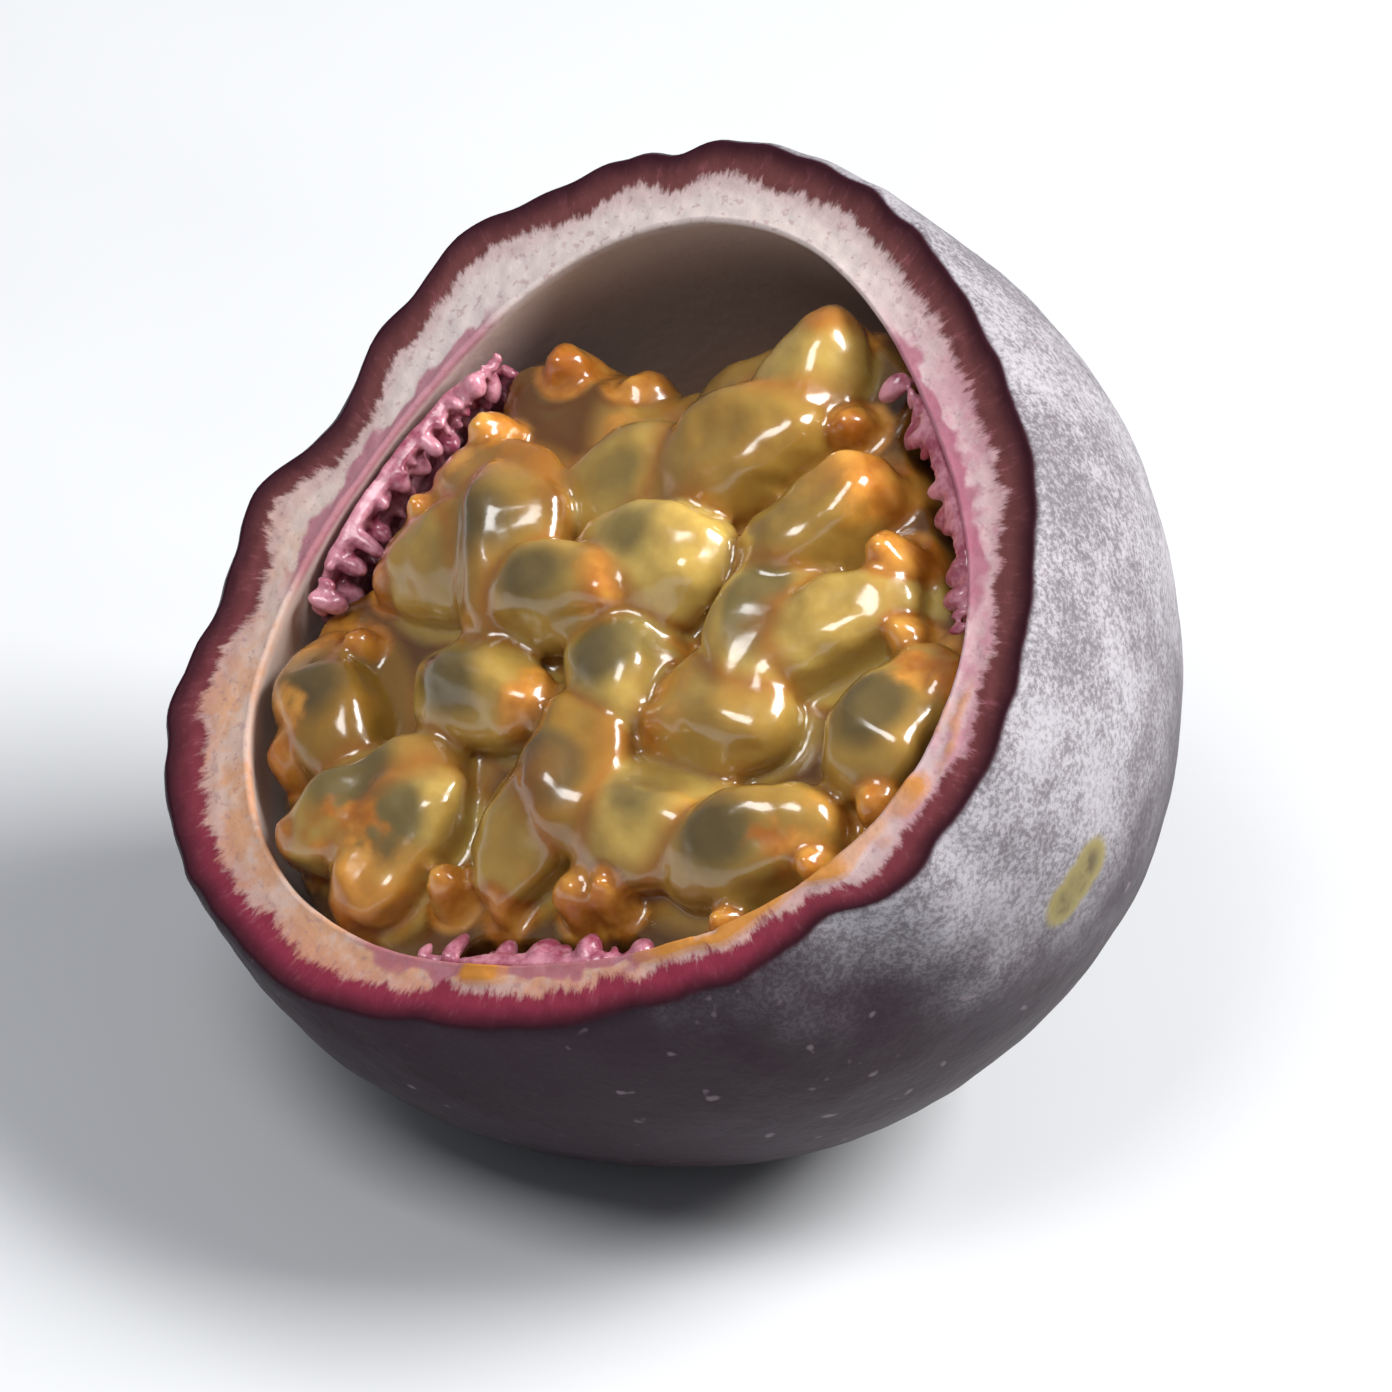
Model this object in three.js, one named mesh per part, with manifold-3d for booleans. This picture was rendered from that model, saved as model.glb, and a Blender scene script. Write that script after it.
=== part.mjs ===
// One cut half of a purple passion fruit. It lies on its rounded side, with the cut face raised to
// the front. Millimetres, +Z up, and the origin is the middle of the flat spot that it rests on.
//
// The fruit is worked out in the frame of its cut: x to the right and y up the slope of the cut
// face, z out of it, with z = 0 on the cut. One group then lays the half down on its flat spot.

import * as THREE from 'three';
import { mergeVertices } from 'three/addons/utils/BufferGeometryUtils.js';
import Module from 'manifold-3d';

const wasm = await Module();
wasm.setup();

const DEG = Math.PI / 180;

// The outer skin: nearly a ball, cut above its widest section.
const GIRTH_RADIUS = 26.8;
const HALF_LENGTH = 25.3;
const CUT_ABOVE_GIRTH = 7.7;
const CUT_TILT = 38 * DEG;
const REST_DEPTH = 0.8;

// Three soft corners, one for each seam of the fruit, that are strongest at the cut edge.
const LOBE_SHARE = 0.056;
const FIRST_LOBE = 2 * DEG;
const LOBE_FADE = 14;

// Uneven places of the cut edge: the angle round the edge and the reach to each side in degrees,
// and how far the edge sinks there. They fade out below the edge.
const EDGE_DENTS = [
  { angle: 18, reach: 14.4, depth: 0.8 },
  { angle: 31, reach: 12, depth: 0.6 },
  { angle: 125, reach: 4.8, depth: 0.6 },
  { angle: 152, reach: 11.2, depth: -1.1 },
  { angle: 179, reach: 12.8, depth: 1.5 },
  { angle: 193, reach: 8, depth: -0.7 },
  { angle: 208, reach: 12, depth: 0.9 },
  { angle: 253, reach: 16, depth: 0.4 },
  { angle: 301, reach: 18, depth: -0.5 },
  { angle: 342, reach: 9.6, depth: 0.8 },
  { angle: 351, reach: 9, depth: -0.7 },
];
const DENT_FADE = 7;

// Long shallow swellings of the skin.
const SWELL = 0.22;
const SWELLS_ROUND = 5;
const SWELL_SPACING = 9;

// The stalk scar at the far end: a dimple with a short woody stub.
const DIMPLE_DEPTH = 1.3;
const DIMPLE_RADIUS = 3.4;
const STUB_RADIUS = 1.85;
const STUB_HEIGHT = 1.9;
const SCAR_RADII = [1.1, 1.7, 1.95, 2.7, 3.9, 5.4];
const SCAR_EDGE = 7;

// The hollow inside the pith, a little off the middle.
const WALL = 4.6;
const FLOOR = 4.4;
const HOLLOW_SHIFT = 1.1;
const HOLLOW_SHIFT_ANGLE = -38 * DEG;

// Where no pulp lies against it, the wall is hollowed out further, by an angle round the edge.
const SCOOP_ANGLE = 120 * DEG;
const SCOOP_HALF_WIDTH = 58 * DEG;
const SCOOP_DEPTH = 1.3;

// The gap between pieces, and how far the space over the cut is worked out.
const GAP = 0.3;
const HEADROOM = 4;

// Steps of the surfaces. The rows of the skin lie closer together near the edge.
const COLUMNS = 72;
const INNER_COLUMNS = 36;
const SKIN_ROWS = 10;
const SKIN_CROWDING = 1.15;
const HOLLOW_ROWS = 8;

// The three pink seed beds on the wall: where each lies round the edge and how wide it is. They
// get narrower and thinner downwards, and the pulp leaves room for them and their strands.
const SEED_BEDS = [
  { name: 'placenta_right', angle: 52, halfWidth: 27, strands: 26, seed: 11 },
  { name: 'placenta_left', angle: 179, halfWidth: 27, strands: 26, seed: 23 },
  { name: 'placenta_lower', angle: 297, halfWidth: 22, strands: 20, seed: 37 },
];
const BED_INSET = 0.42;
const BED_TOP = -0.5;
const BED_BOTTOM = -17;
const BED_THICKNESS = 0.9;
const BED_EDGE = 0.35;
const BED_NARROWING = 0.35;
const BED_THINNING = 75 * DEG;
const BED_COLUMNS = 8;
const BED_ROWS = 5;
const BED_ROOM = 3.5;
const BED_ROOM_OUTWARD = 1;
const BED_ROOM_DEEPER = 1.15;
const BED_MARGIN = 5;

// The strands on a bed, spread over it by the golden section and thickest near the cut.
const GOLDEN_SHARE = 0.618;
const STRANDS_ACROSS = [0.04, 0.96];
const STRANDS_DOWN = [0.02, 0.86];
const STRAND_CROWDING = 2.2;
const STRAND_RADIUS = [0.5, 0.9];
const STRAND_LENGTH = [1.5, 2.5];
const STRAND_LEAN = 0.5;
const STRAND_DROOP = [-0.7, 0.3];

// The pulp fills the hollow, except for an empty crescent under the upper wall.
const CORE_TOP = -3;
const CORE_DOME = 1;
const CORE_FLOOR = -28;
const CORE_INSET = 2 * GAP;
const CORE_SHOULDER = 3;
const CORE_DRAWN_BACK = 1.3;
const CORE_ROWS = [0.98, 0.9, 0.75, 0.5, 0.2];
const CRESCENT_ANGLE = 122;
const CRESCENT_HALF_WIDTH = 36;
const CRESCENT_REACH = 8.2;
const CRESCENT_DEPTH = 17;

// Juice sacs, in rows from the wall to the middle. Those at the wall point inwards, except where
// they have slumped along the wall, and the others lie in every direction. Spreads are how far a
// drawn value may lie to each side, and a rise is how much higher a sac's far end may lie.
const WALL_SACS = { count: 14, first: 8, length: 11.2, height: -2.2, rise: [-1, 0.8] };
const WALL_SPREAD = { angle: 9, turn: 30, height: 0.8, lengthShare: [0.85, 1.15] };
const WALL_DRAWN_IN = 0.85;
const INNER_SACS = [
  { count: 7, first: 30, radius: 9, length: 10.8, height: -1.4 },
  { count: 3, first: 80, radius: 3.4, length: 9.5, height: -1 },
];
const INNER_SPREAD = { angle: 12, radius: 1, height: 0.7, way: 90, rise: 1, lengthShare: [0.85, 1.1] };
const SLUMPED = [
  { angle: 350, halfWidth: 60, turn: 95 },
  { angle: 230, halfWidth: 30, turn: -80 },
];
const SLOPE_SACS = { count: 5, first: 92, step: 15, radius: 10.5, height: -8.5, reach: 3.85 };
const SLOPE_SPREAD = { angle: 4, height: 1, way: [20, 60] };
const SLOPE_DROP = 4.5;
const SLOPE_SHIFT = 1.5;
const SAC_HALF_WIDTH = 3.3;
const SAC_HALF_THICKNESS = 3;
const SAC_SHARE = [0.9, 1.1];
const SAC_SEED = 11462;

// The opaque orange ends along the wall, where the sacs hang on.
const ORANGE_ENDS = 24;
const ORANGE_LENGTH = 6;
const ORANGE_RADIUS = [1.2, 1.9];
const ORANGE_SPREAD = { angle: 5, height: 0.8 };
const ORANGE_OFF_WALL = 0.8;
const ORANGE_DRAWN_IN = 0.9;
const ORANGE_LEAN = 1;
const ORANGE_SEED = 71;

// Outlines of a sac, an orange end and a strand: share of the length, then share of the width.
const SAC_OUTLINE = [[0.03, 0.36], [0.15, 0.7], [0.4, 0.97], [0.7, 1], [0.9, 0.72], [0.98, 0.36]];
const BEAD_OUTLINE = [[0.15, 0.7], [0.5, 1], [0.85, 0.7]];
const STRAND_OUTLINE = [[0.05, 0.6], [0.35, 1], [0.7, 0.85], [0.93, 0.5]];
const SAC_SIDES = 8;
const BEAD_SIDES = 5;
const STRAND_SIDES = 4;

// The same numbers from the same seed each time, between 0 and 1.
function seededDraw(seed) {
  const factor = 16807;
  const range = 2147483647;
  let state = seed * factor % range;
  return () => {
    state = state * factor % range;
    return state / range;
  };
}

function between(draw, low, high) {
  return low + (high - low) * draw();
}

function polar(angle, radius, height) {
  return new THREE.Vector3(radius * Math.cos(angle), radius * Math.sin(angle), height);
}

// How near an angle is to a middle angle: 1 on it, 0 from the half-width on.
function nearness(angle, middle, halfWidth) {
  const turn = Math.PI * 2;
  const apart = Math.abs(((angle - middle) % turn + turn + Math.PI) % turn - Math.PI);
  return apart < halfWidth ? 0.5 + 0.5 * Math.cos(Math.PI * apart / halfWidth) : 0;
}

function lobeFactor(angle, height) {
  return 1 + LOBE_SHARE * Math.cos(3 * (angle - FIRST_LOBE)) * Math.exp(height / LOBE_FADE);
}

function dentDepth(angle, height) {
  const fade = Math.exp(height / DENT_FADE);
  const sum = (total, dent) =>
    total + dent.depth * nearness(angle, dent.angle * DEG, dent.reach * DEG);
  return fade * EDGE_DENTS.reduce(sum, 0);
}

function swelling(angle, height) {
  const wave = Math.sin(SWELLS_ROUND * angle + height / SWELL_SPACING);
  return SWELL * wave * Math.cos(2 * angle - height / SWELL_SPACING);
}

// A point of the skin, by the angle round the axis and the latitude below the widest section.
function skinPoint(angle, latitude) {
  const height = -CUT_ABOVE_GIRTH - HALF_LENGTH * Math.sin(latitude);
  const round = GIRTH_RADIUS * Math.cos(latitude) * lobeFactor(angle, height);
  const uneven = (swelling(angle, height) - dentDepth(angle, height)) * Math.cos(latitude);
  return polar(angle, round + uneven, height);
}

// A point of the stalk scar, by its distance from the axis.
function scarPoint(angle, radius) {
  const latitude = Math.acos(radius / GIRTH_RADIUS);
  const dimple = DIMPLE_DEPTH * Math.exp(-((radius / DIMPLE_RADIUS) ** 2));
  const stub = radius < STUB_RADIUS ? STUB_HEIGHT : 0;
  return polar(angle, radius, -CUT_ABOVE_GIRTH - HALF_LENGTH * Math.sin(latitude) + dimple - stub);
}

// The latitude at which the wall of the hollow has a height.
function hollowLatitude(height) {
  return Math.asin(Math.min(1, -(height + CUT_ABOVE_GIRTH) / HOLLOW_REACH));
}

// A point of the wall of the hollow, or drawn in from that wall, by angle and latitude.
function hollowPoint(angle, latitude, inset = 0) {
  const height = -CUT_ABOVE_GIRTH - (HOLLOW_REACH - inset) * Math.sin(latitude);
  const radius = (HOLLOW_RADIUS * lobeFactor(angle, height) - inset) * Math.cos(latitude);
  return polar(angle, Math.max(0, radius), height).add(HOLLOW_OFFSET);
}

function hollowPlace(angle, height, inset = 0) {
  return hollowPoint(angle, hollowLatitude(Math.min(0, height)), inset);
}

// A point of the wall itself, which is scooped out on one side.
function wallPoint(angle, latitude) {
  const scoop = SCOOP_DEPTH * nearness(angle, SCOOP_ANGLE, SCOOP_HALF_WIDTH) * Math.cos(latitude);
  return hollowPoint(angle, latitude).add(polar(angle, scoop, 0));
}

const HOLLOW_RADIUS = GIRTH_RADIUS - WALL;
const HOLLOW_REACH = HALF_LENGTH - FLOOR;
const HOLLOW_OFFSET = polar(HOLLOW_SHIFT_ANGLE, HOLLOW_SHIFT, 0);
const HOLLOW_LATITUDES = Array.from({ length: HOLLOW_ROWS }, (_, row) =>
  hollowLatitude(0) + (Math.PI / 2 - hollowLatitude(0)) * row / HOLLOW_ROWS);

function ringOf(columns, pointAt) {
  return Array.from({ length: columns }, (_, k) => pointAt(k * 2 * Math.PI / columns));
}

function geometryOf(points, faces) {
  const geometry = new THREE.BufferGeometry().setFromPoints(points);
  geometry.setIndex(faces);
  return geometry;
}

// One closed body from a stack of rings, closed by a point at each end.
function ringStack(start, rings, end) {
  const sides = rings[0].length;
  const last = rings.length - 1;
  const at = (ring, k) => 1 + ring * sides + k % sides;
  const faces = [];
  for (let k = 0; k < sides; k++) {
    faces.push(0, at(0, k + 1), at(0, k));
    for (let ring = 0; ring < last; ring++) {
      faces.push(at(ring, k), at(ring, k + 1), at(ring + 1, k));
      faces.push(at(ring, k + 1), at(ring + 1, k + 1), at(ring + 1, k));
    }
    faces.push(at(last, k), at(last, k + 1), 1 + rings.length * sides);
  }
  return geometryOf([start, ...rings.flat(), end], faces);
}

// One closed sheet between an outer and an inner face, each given by a place across and down it.
function thickSheet(columns, rows, outerAt, innerAt) {
  const points = [];
  for (const pointAt of [outerAt, innerAt]) {
    for (let j = 0; j <= rows; j++) {
      for (let i = 0; i <= columns; i++) points.push(pointAt(i / columns, j / rows));
    }
  }
  const inner = (columns + 1) * (rows + 1);
  const at = (i, j) => j * (columns + 1) + i;
  const faces = [];
  const quad = (a, b, c, d) => faces.push(a, b, c, a, c, d);
  for (let j = 0; j < rows; j++) {
    for (let i = 0; i < columns; i++) {
      quad(at(i, j), at(i, j + 1), at(i + 1, j + 1), at(i + 1, j));
      quad(inner + at(i, j), inner + at(i + 1, j), inner + at(i + 1, j + 1), inner + at(i, j + 1));
    }
    quad(at(0, j), inner + at(0, j), inner + at(0, j + 1), at(0, j + 1));
    quad(at(columns, j), at(columns, j + 1), inner + at(columns, j + 1), inner + at(columns, j));
  }
  for (let i = 0; i < columns; i++) {
    quad(at(i, 0), at(i + 1, 0), inner + at(i + 1, 0), inner + at(i, 0));
    quad(at(i, rows), inner + at(i, rows), inner + at(i + 1, rows), at(i + 1, rows));
  }
  return geometryOf(points, faces);
}

// A closed body along a straight axis, with an outline and an oval section.
function spindle(from, to, halfWidth, halfThickness, outline, sides) {
  const axis = new THREE.Vector3().subVectors(to, from);
  const up = new THREE.Vector3(0, 0, 1);
  const across = new THREE.Vector3().crossVectors(up, axis).normalize();
  const over = new THREE.Vector3().crossVectors(axis, across).normalize();
  const rings = outline.map(([along, share]) => ringOf(sides, (turn) => from.clone()
    .addScaledVector(axis, along)
    .addScaledVector(across, halfWidth * share * Math.cos(turn))
    .addScaledVector(over, halfThickness * share * Math.sin(turn))));
  return ringStack(from, rings, to);
}

function solidOf(geometry) {
  const bare = geometry.clone();
  bare.deleteAttribute('normal');
  bare.deleteAttribute('uv');
  const merged = mergeVertices(bare, 1e-4);
  const vertProperties = new Float32Array(merged.attributes.position.array);
  const triVerts = new Uint32Array(merged.index.array);
  return new wasm.Manifold(new wasm.Mesh({ numProp: 3, vertProperties, triVerts }));
}

function meshOf(name, solid, look) {
  const { vertProperties, triVerts, numProp } = solid.getMesh();
  const points = [];
  for (let i = 0; i < vertProperties.length; i += numProp) {
    points.push(new THREE.Vector3().fromArray(vertProperties, i));
  }
  const geometry = geometryOf(points, Array.from(triVerts));
  geometry.computeVertexNormals();
  const mesh = new THREE.Mesh(geometry, new THREE.MeshStandardMaterial(look));
  mesh.name = name;
  return mesh;
}

// The direction and the distance, from the middle of the fruit, of the plane that it rests on.
const DOWN = new THREE.Vector3(0, -Math.sin(CUT_TILT), -Math.cos(CUT_TILT));
const SUPPORT = Math.hypot(GIRTH_RADIUS * DOWN.y, HALF_LENGTH * DOWN.z);
const REST_POINT = new THREE.Vector3(0, GIRTH_RADIUS ** 2 * DOWN.y, HALF_LENGTH ** 2 * DOWN.z)
  .multiplyScalar((1 - REST_DEPTH / SUPPORT) / SUPPORT)
  .add(new THREE.Vector3(0, 0, -CUT_ABOVE_GIRTH));

// A block below the resting plane, in the frame of the cut.
function blockBelowRest() {
  const size = 2 * GIRTH_RADIUS;
  const block = new THREE.BoxGeometry(size, size, size);
  block.translate(0, 0, -size / 2);
  block.rotateX(-CUT_TILT);
  block.translate(REST_POINT.x, REST_POINT.y, REST_POINT.z);
  return block;
}

// The skin and the pith, one cup with a level cut edge and a flat spot to rest on.
function makeRind() {
  const edge = -Math.asin(CUT_ABOVE_GIRTH / HALF_LENGTH);
  const scarEdge = Math.acos(SCAR_EDGE / GIRTH_RADIUS);
  const rings = SCAR_RADII.map((radius) => ringOf(COLUMNS, (angle) => scarPoint(angle, radius)));
  for (let row = SKIN_ROWS; row >= 0; row--) {
    const latitude = edge + (scarEdge - edge) * (row / SKIN_ROWS) ** SKIN_CROWDING;
    rings.push(ringOf(COLUMNS, (angle) => skinPoint(angle, latitude)));
  }
  for (const latitude of HOLLOW_LATITUDES) {
    rings.push(ringOf(COLUMNS, (angle) => wallPoint(angle, latitude)));
  }
  return solidOf(ringStack(scarPoint(0, 0), rings, hollowPoint(0, Math.PI / 2)))
    .subtract(solidOf(blockBelowRest()));
}

// A place on the wall of the hollow over a seed bed: across it from 0 to 1, down it from 0 to 1.
function bedPlace(bed, across, down, widen, inset) {
  const halfWidth = (bed.halfWidth + widen) * DEG * (1 - BED_NARROWING * down);
  const angle = bed.angle * DEG + (2 * across - 1) * halfWidth;
  const height = BED_TOP + (BED_BOTTOM - BED_TOP) * down;
  return hollowPlace(angle, height, inset);
}

// How thick a seed bed is at a place across and down it.
function bedThickness(across, down) {
  const swell = Math.sin(Math.PI * across) * Math.cos(BED_THINNING * down);
  return BED_EDGE + (BED_THICKNESS - BED_EDGE) * swell;
}

// One strand on a seed bed, that stands on its sheet and leans a little.
function bedStrand(bed, index, draw) {
  const share = (index * GOLDEN_SHARE + 0.5) % 1;
  const across = STRANDS_ACROSS[0] + (STRANDS_ACROSS[1] - STRANDS_ACROSS[0]) * share;
  const crowded = (index / bed.strands) ** STRAND_CROWDING;
  const down = STRANDS_DOWN[0] + (STRANDS_DOWN[1] - STRANDS_DOWN[0]) * crowded;
  const length = between(draw, ...STRAND_LENGTH);
  const radius = between(draw, ...STRAND_RADIUS);
  const root = bedPlace(bed, across, down, 0, BED_INSET + BED_EDGE / 2);
  const tip = bedPlace(bed, across, down, 0, BED_INSET + length);
  tip.x += between(draw, -STRAND_LEAN, STRAND_LEAN);
  tip.y += between(draw, -STRAND_LEAN, STRAND_LEAN);
  tip.z += between(draw, ...STRAND_DROOP);
  return spindle(root, tip, radius, radius, STRAND_OUTLINE, STRAND_SIDES);
}

// One seed bed: a thin band along the wall with crumbly strands that reach towards the sacs.
function makeSeedBed(bed) {
  const draw = seededDraw(bed.seed);
  const sheet = solidOf(thickSheet(BED_COLUMNS, BED_ROWS,
    (across, down) => bedPlace(bed, across, down, 0, BED_INSET),
    (across, down) => bedPlace(bed, across, down, 0, BED_INSET + bedThickness(across, down))));
  const strands = Array.from({ length: bed.strands }, (_, i) => solidOf(bedStrand(bed, i, draw)));
  return strands.reduce((whole, strand) => whole.add(strand), sheet);
}

// The space that a seed bed and its strands take up, open upwards, which the pulp keeps free.
function bedRoom(bed) {
  const rows = BED_ROWS + 1;
  const placeAt = (inset) => (across, share) => {
    const down = BED_ROOM_DEEPER * Math.max(0, share * rows - 1) / BED_ROWS;
    const place = bedPlace(bed, across, down, BED_MARGIN, inset);
    return share === 0 ? place.setZ(HEADROOM) : place;
  };
  return solidOf(thickSheet(BED_COLUMNS, rows, placeAt(-BED_ROOM_OUTWARD), placeAt(BED_ROOM)));
}

// The hollow as a body of its own, drawn in from the wall and rising straight over the cut.
function hollowSpace(inset) {
  const rings = HOLLOW_LATITUDES.toReversed().map((latitude) =>
    ringOf(INNER_COLUMNS, (angle) => hollowPoint(angle, latitude, inset)));
  const lid = rings.at(-1).map((point) => point.clone().setZ(HEADROOM));
  return solidOf(ringStack(hollowPoint(0, Math.PI / 2, inset), [...rings, lid],
    HOLLOW_OFFSET.clone().setZ(HEADROOM)));
}

// How much of the empty crescent lies at an angle, from 0 to 1.
function crescent(angle) {
  return nearness(angle, CRESCENT_ANGLE * DEG, CRESCENT_HALF_WIDTH * DEG);
}

// How far the pulp is drawn back from the wall by the crescent, at an angle and a height.
function crescentAt(angle, height) {
  const open = Math.min(1, Math.max(0, 1 + height / CRESCENT_DEPTH));
  return CRESCENT_REACH * crescent(angle) * Math.sqrt(open);
}

// The packed middle of the pulp, which the sacs stand out of.
function makeCore() {
  const heights = CORE_ROWS.map((share) => CORE_TOP + (CORE_FLOOR - CORE_TOP) * share);
  const rings = heights.map((height) => ringOf(INNER_COLUMNS, (angle) =>
    hollowPlace(angle, height, CORE_INSET + crescentAt(angle, height))));
  rings.push(ringOf(INNER_COLUMNS, (angle) =>
    hollowPlace(angle, CORE_TOP, CORE_SHOULDER + CORE_DRAWN_BACK * crescentAt(angle, CORE_TOP))));
  return solidOf(ringStack(hollowPoint(0, Math.PI / 2, CORE_INSET), rings,
    HOLLOW_OFFSET.clone().setZ(CORE_TOP + CORE_DOME)));
}

// How far the pulp stays off the wall at an angle: a gap, or the room that a seed bed takes.
function pulpInset(angle) {
  const overBed = SEED_BEDS.some((bed) => nearness(angle, bed.angle * DEG,
    (bed.halfWidth + BED_MARGIN) * DEG) > 0);
  return overBed ? BED_ROOM : GAP;
}

// One sac round its middle, with half its length as a vector.
function sac(middle, half, draw) {
  const halfWidth = SAC_HALF_WIDTH * between(draw, ...SAC_SHARE);
  const halfThickness = SAC_HALF_THICKNESS * between(draw, ...SAC_SHARE);
  return spindle(middle.clone().sub(half), middle.clone().add(half), halfWidth, halfThickness,
    SAC_OUTLINE, SAC_SIDES);
}

// How far a sac at the wall is turned from pointing inwards, in degrees.
function slumpedTurn(angle) {
  const turnOf = (place) => place.turn * nearness(angle, place.angle * DEG, place.halfWidth * DEG);
  return SLUMPED.reduce((total, place) => total + turnOf(place), 0);
}

// A drawn value that lies up to the spread to each side of 0.
function either(draw, spread) {
  return between(draw, -spread, spread);
}

function wallSacs(draw) {
  const { count, first, length, height: level, rise } = WALL_SACS;
  return Array.from({ length: count }, (_, i) => {
    const angle = (first + i * 360 / count + either(draw, WALL_SPREAD.angle)) * DEG;
    const turn = (slumpedTurn(angle) + either(draw, WALL_SPREAD.turn)) * DEG;
    const size = length * between(draw, ...WALL_SPREAD.lengthShare) / 2;
    const reach = size * Math.abs(Math.cos(turn)) + SAC_HALF_WIDTH * Math.abs(Math.sin(turn));
    const height = level + either(draw, WALL_SPREAD.height) - SLOPE_DROP * crescent(angle);
    const inset = pulpInset(angle) + reach + WALL_DRAWN_IN * crescentAt(angle, height);
    const middle = hollowPlace(angle, height, inset).setZ(height);
    return sac(middle, polar(angle + Math.PI + turn, size, between(draw, ...rise)), draw);
  });
}

function innerSac(row, index, draw) {
  const angle = (row.first + index * 360 / row.count + either(draw, INNER_SPREAD.angle)) * DEG;
  const drawnIn = SLOPE_SHIFT * crescent(angle);
  const radius = row.radius + either(draw, INNER_SPREAD.radius) - drawnIn;
  const middle = polar(angle, radius, row.height - drawnIn + either(draw, INNER_SPREAD.height));
  const way = angle + either(draw, INNER_SPREAD.way) * DEG;
  const size = row.length / 2 * between(draw, ...INNER_SPREAD.lengthShare);
  return sac(middle, polar(way, size, either(draw, INNER_SPREAD.rise)), draw);
}

function innerSacs(draw) {
  return INNER_SACS.flatMap((row) =>
    Array.from({ length: row.count }, (_, i) => innerSac(row, i, draw)));
}

// Sacs lower down, on the slope that the pulp makes towards the empty crescent.
function slopeSacs(draw) {
  const { count, first, step, radius, height, reach } = SLOPE_SACS;
  return Array.from({ length: count }, (_, i) => {
    const angle = (first + i * step + either(draw, SLOPE_SPREAD.angle)) * DEG;
    const middle = polar(angle, radius, height + either(draw, SLOPE_SPREAD.height));
    const way = angle + between(draw, ...SLOPE_SPREAD.way) * DEG;
    return sac(middle, polar(way, reach, reach), draw);
  });
}

function orangeEnds(draw) {
  return Array.from({ length: ORANGE_ENDS }, (_, i) => {
    const angle = (i * 360 / ORANGE_ENDS + either(draw, ORANGE_SPREAD.angle)) * DEG;
    const radius = between(draw, ...ORANGE_RADIUS);
    const height = either(draw, ORANGE_SPREAD.height) - SLOPE_DROP * crescent(angle);
    const drawnIn = ORANGE_DRAWN_IN * crescentAt(angle, Math.min(0, height));
    const inset = pulpInset(angle) + ORANGE_OFF_WALL * radius + drawnIn;
    const top = hollowPlace(angle, height, inset).setZ(height);
    const root = hollowPlace(angle, height - ORANGE_LENGTH, inset + ORANGE_LEAN);
    return spindle(root, top, radius, radius, BEAD_OUTLINE, BEAD_SIDES);
  });
}

// The bunch of sacs, grown together, clear of the wall and of the seed beds.
function makePulp() {
  const draw = seededDraw(SAC_SEED);
  const sacs = [...wallSacs(draw), ...innerSacs(draw), ...slopeSacs(draw)];
  const beads = orangeEnds(seededDraw(ORANGE_SEED));
  const bunch = [...sacs, ...beads].reduce((whole, body) => whole.add(solidOf(body)), makeCore());
  const kept = bunch.intersect(hollowSpace(GAP));
  return SEED_BEDS.reduce((whole, bed) => whole.subtract(bedRoom(bed)), kept);
}

const RIND_LOOK = { color: 0x5a3140, roughness: 0.45, metalness: 0 };
const BED_LOOK = { color: 0xa9607c, roughness: 0.5, metalness: 0 };
const PULP_LOOK = { color: 0x9c7a2c, roughness: 0.2, metalness: 0 };

// The half, laid down: the cut turned up to its tilt, and the flat spot moved to the origin.
const half = new THREE.Group();
half.rotation.x = CUT_TILT;
half.position.copy(REST_POINT.clone().applyAxisAngle(new THREE.Vector3(1, 0, 0), CUT_TILT)).negate();
half.add(meshOf('rind', makeRind(), RIND_LOOK));
for (const bed of SEED_BEDS) half.add(meshOf(bed.name, makeSeedBed(bed), BED_LOOK));
half.add(meshOf('pulp', makePulp(), PULP_LOOK));

const passionFruitHalf = new THREE.Group();
passionFruitHalf.add(half);

export default passionFruitHalf;
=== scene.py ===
# %% [markdown]
# A cut half of a purple passion fruit, lying on its rounded side.
# This lesson builds its look round the measured model: a leathery purple skin over pale pith,
# three pink seed beds on the wall of the hollow, and a heap of wet juice sacs with dark seeds.
# Every shape follows the same formulas as the measured model, only with finer steps.

import bpy
import numpy as np
from mathutils import Matrix, Vector, noise


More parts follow.
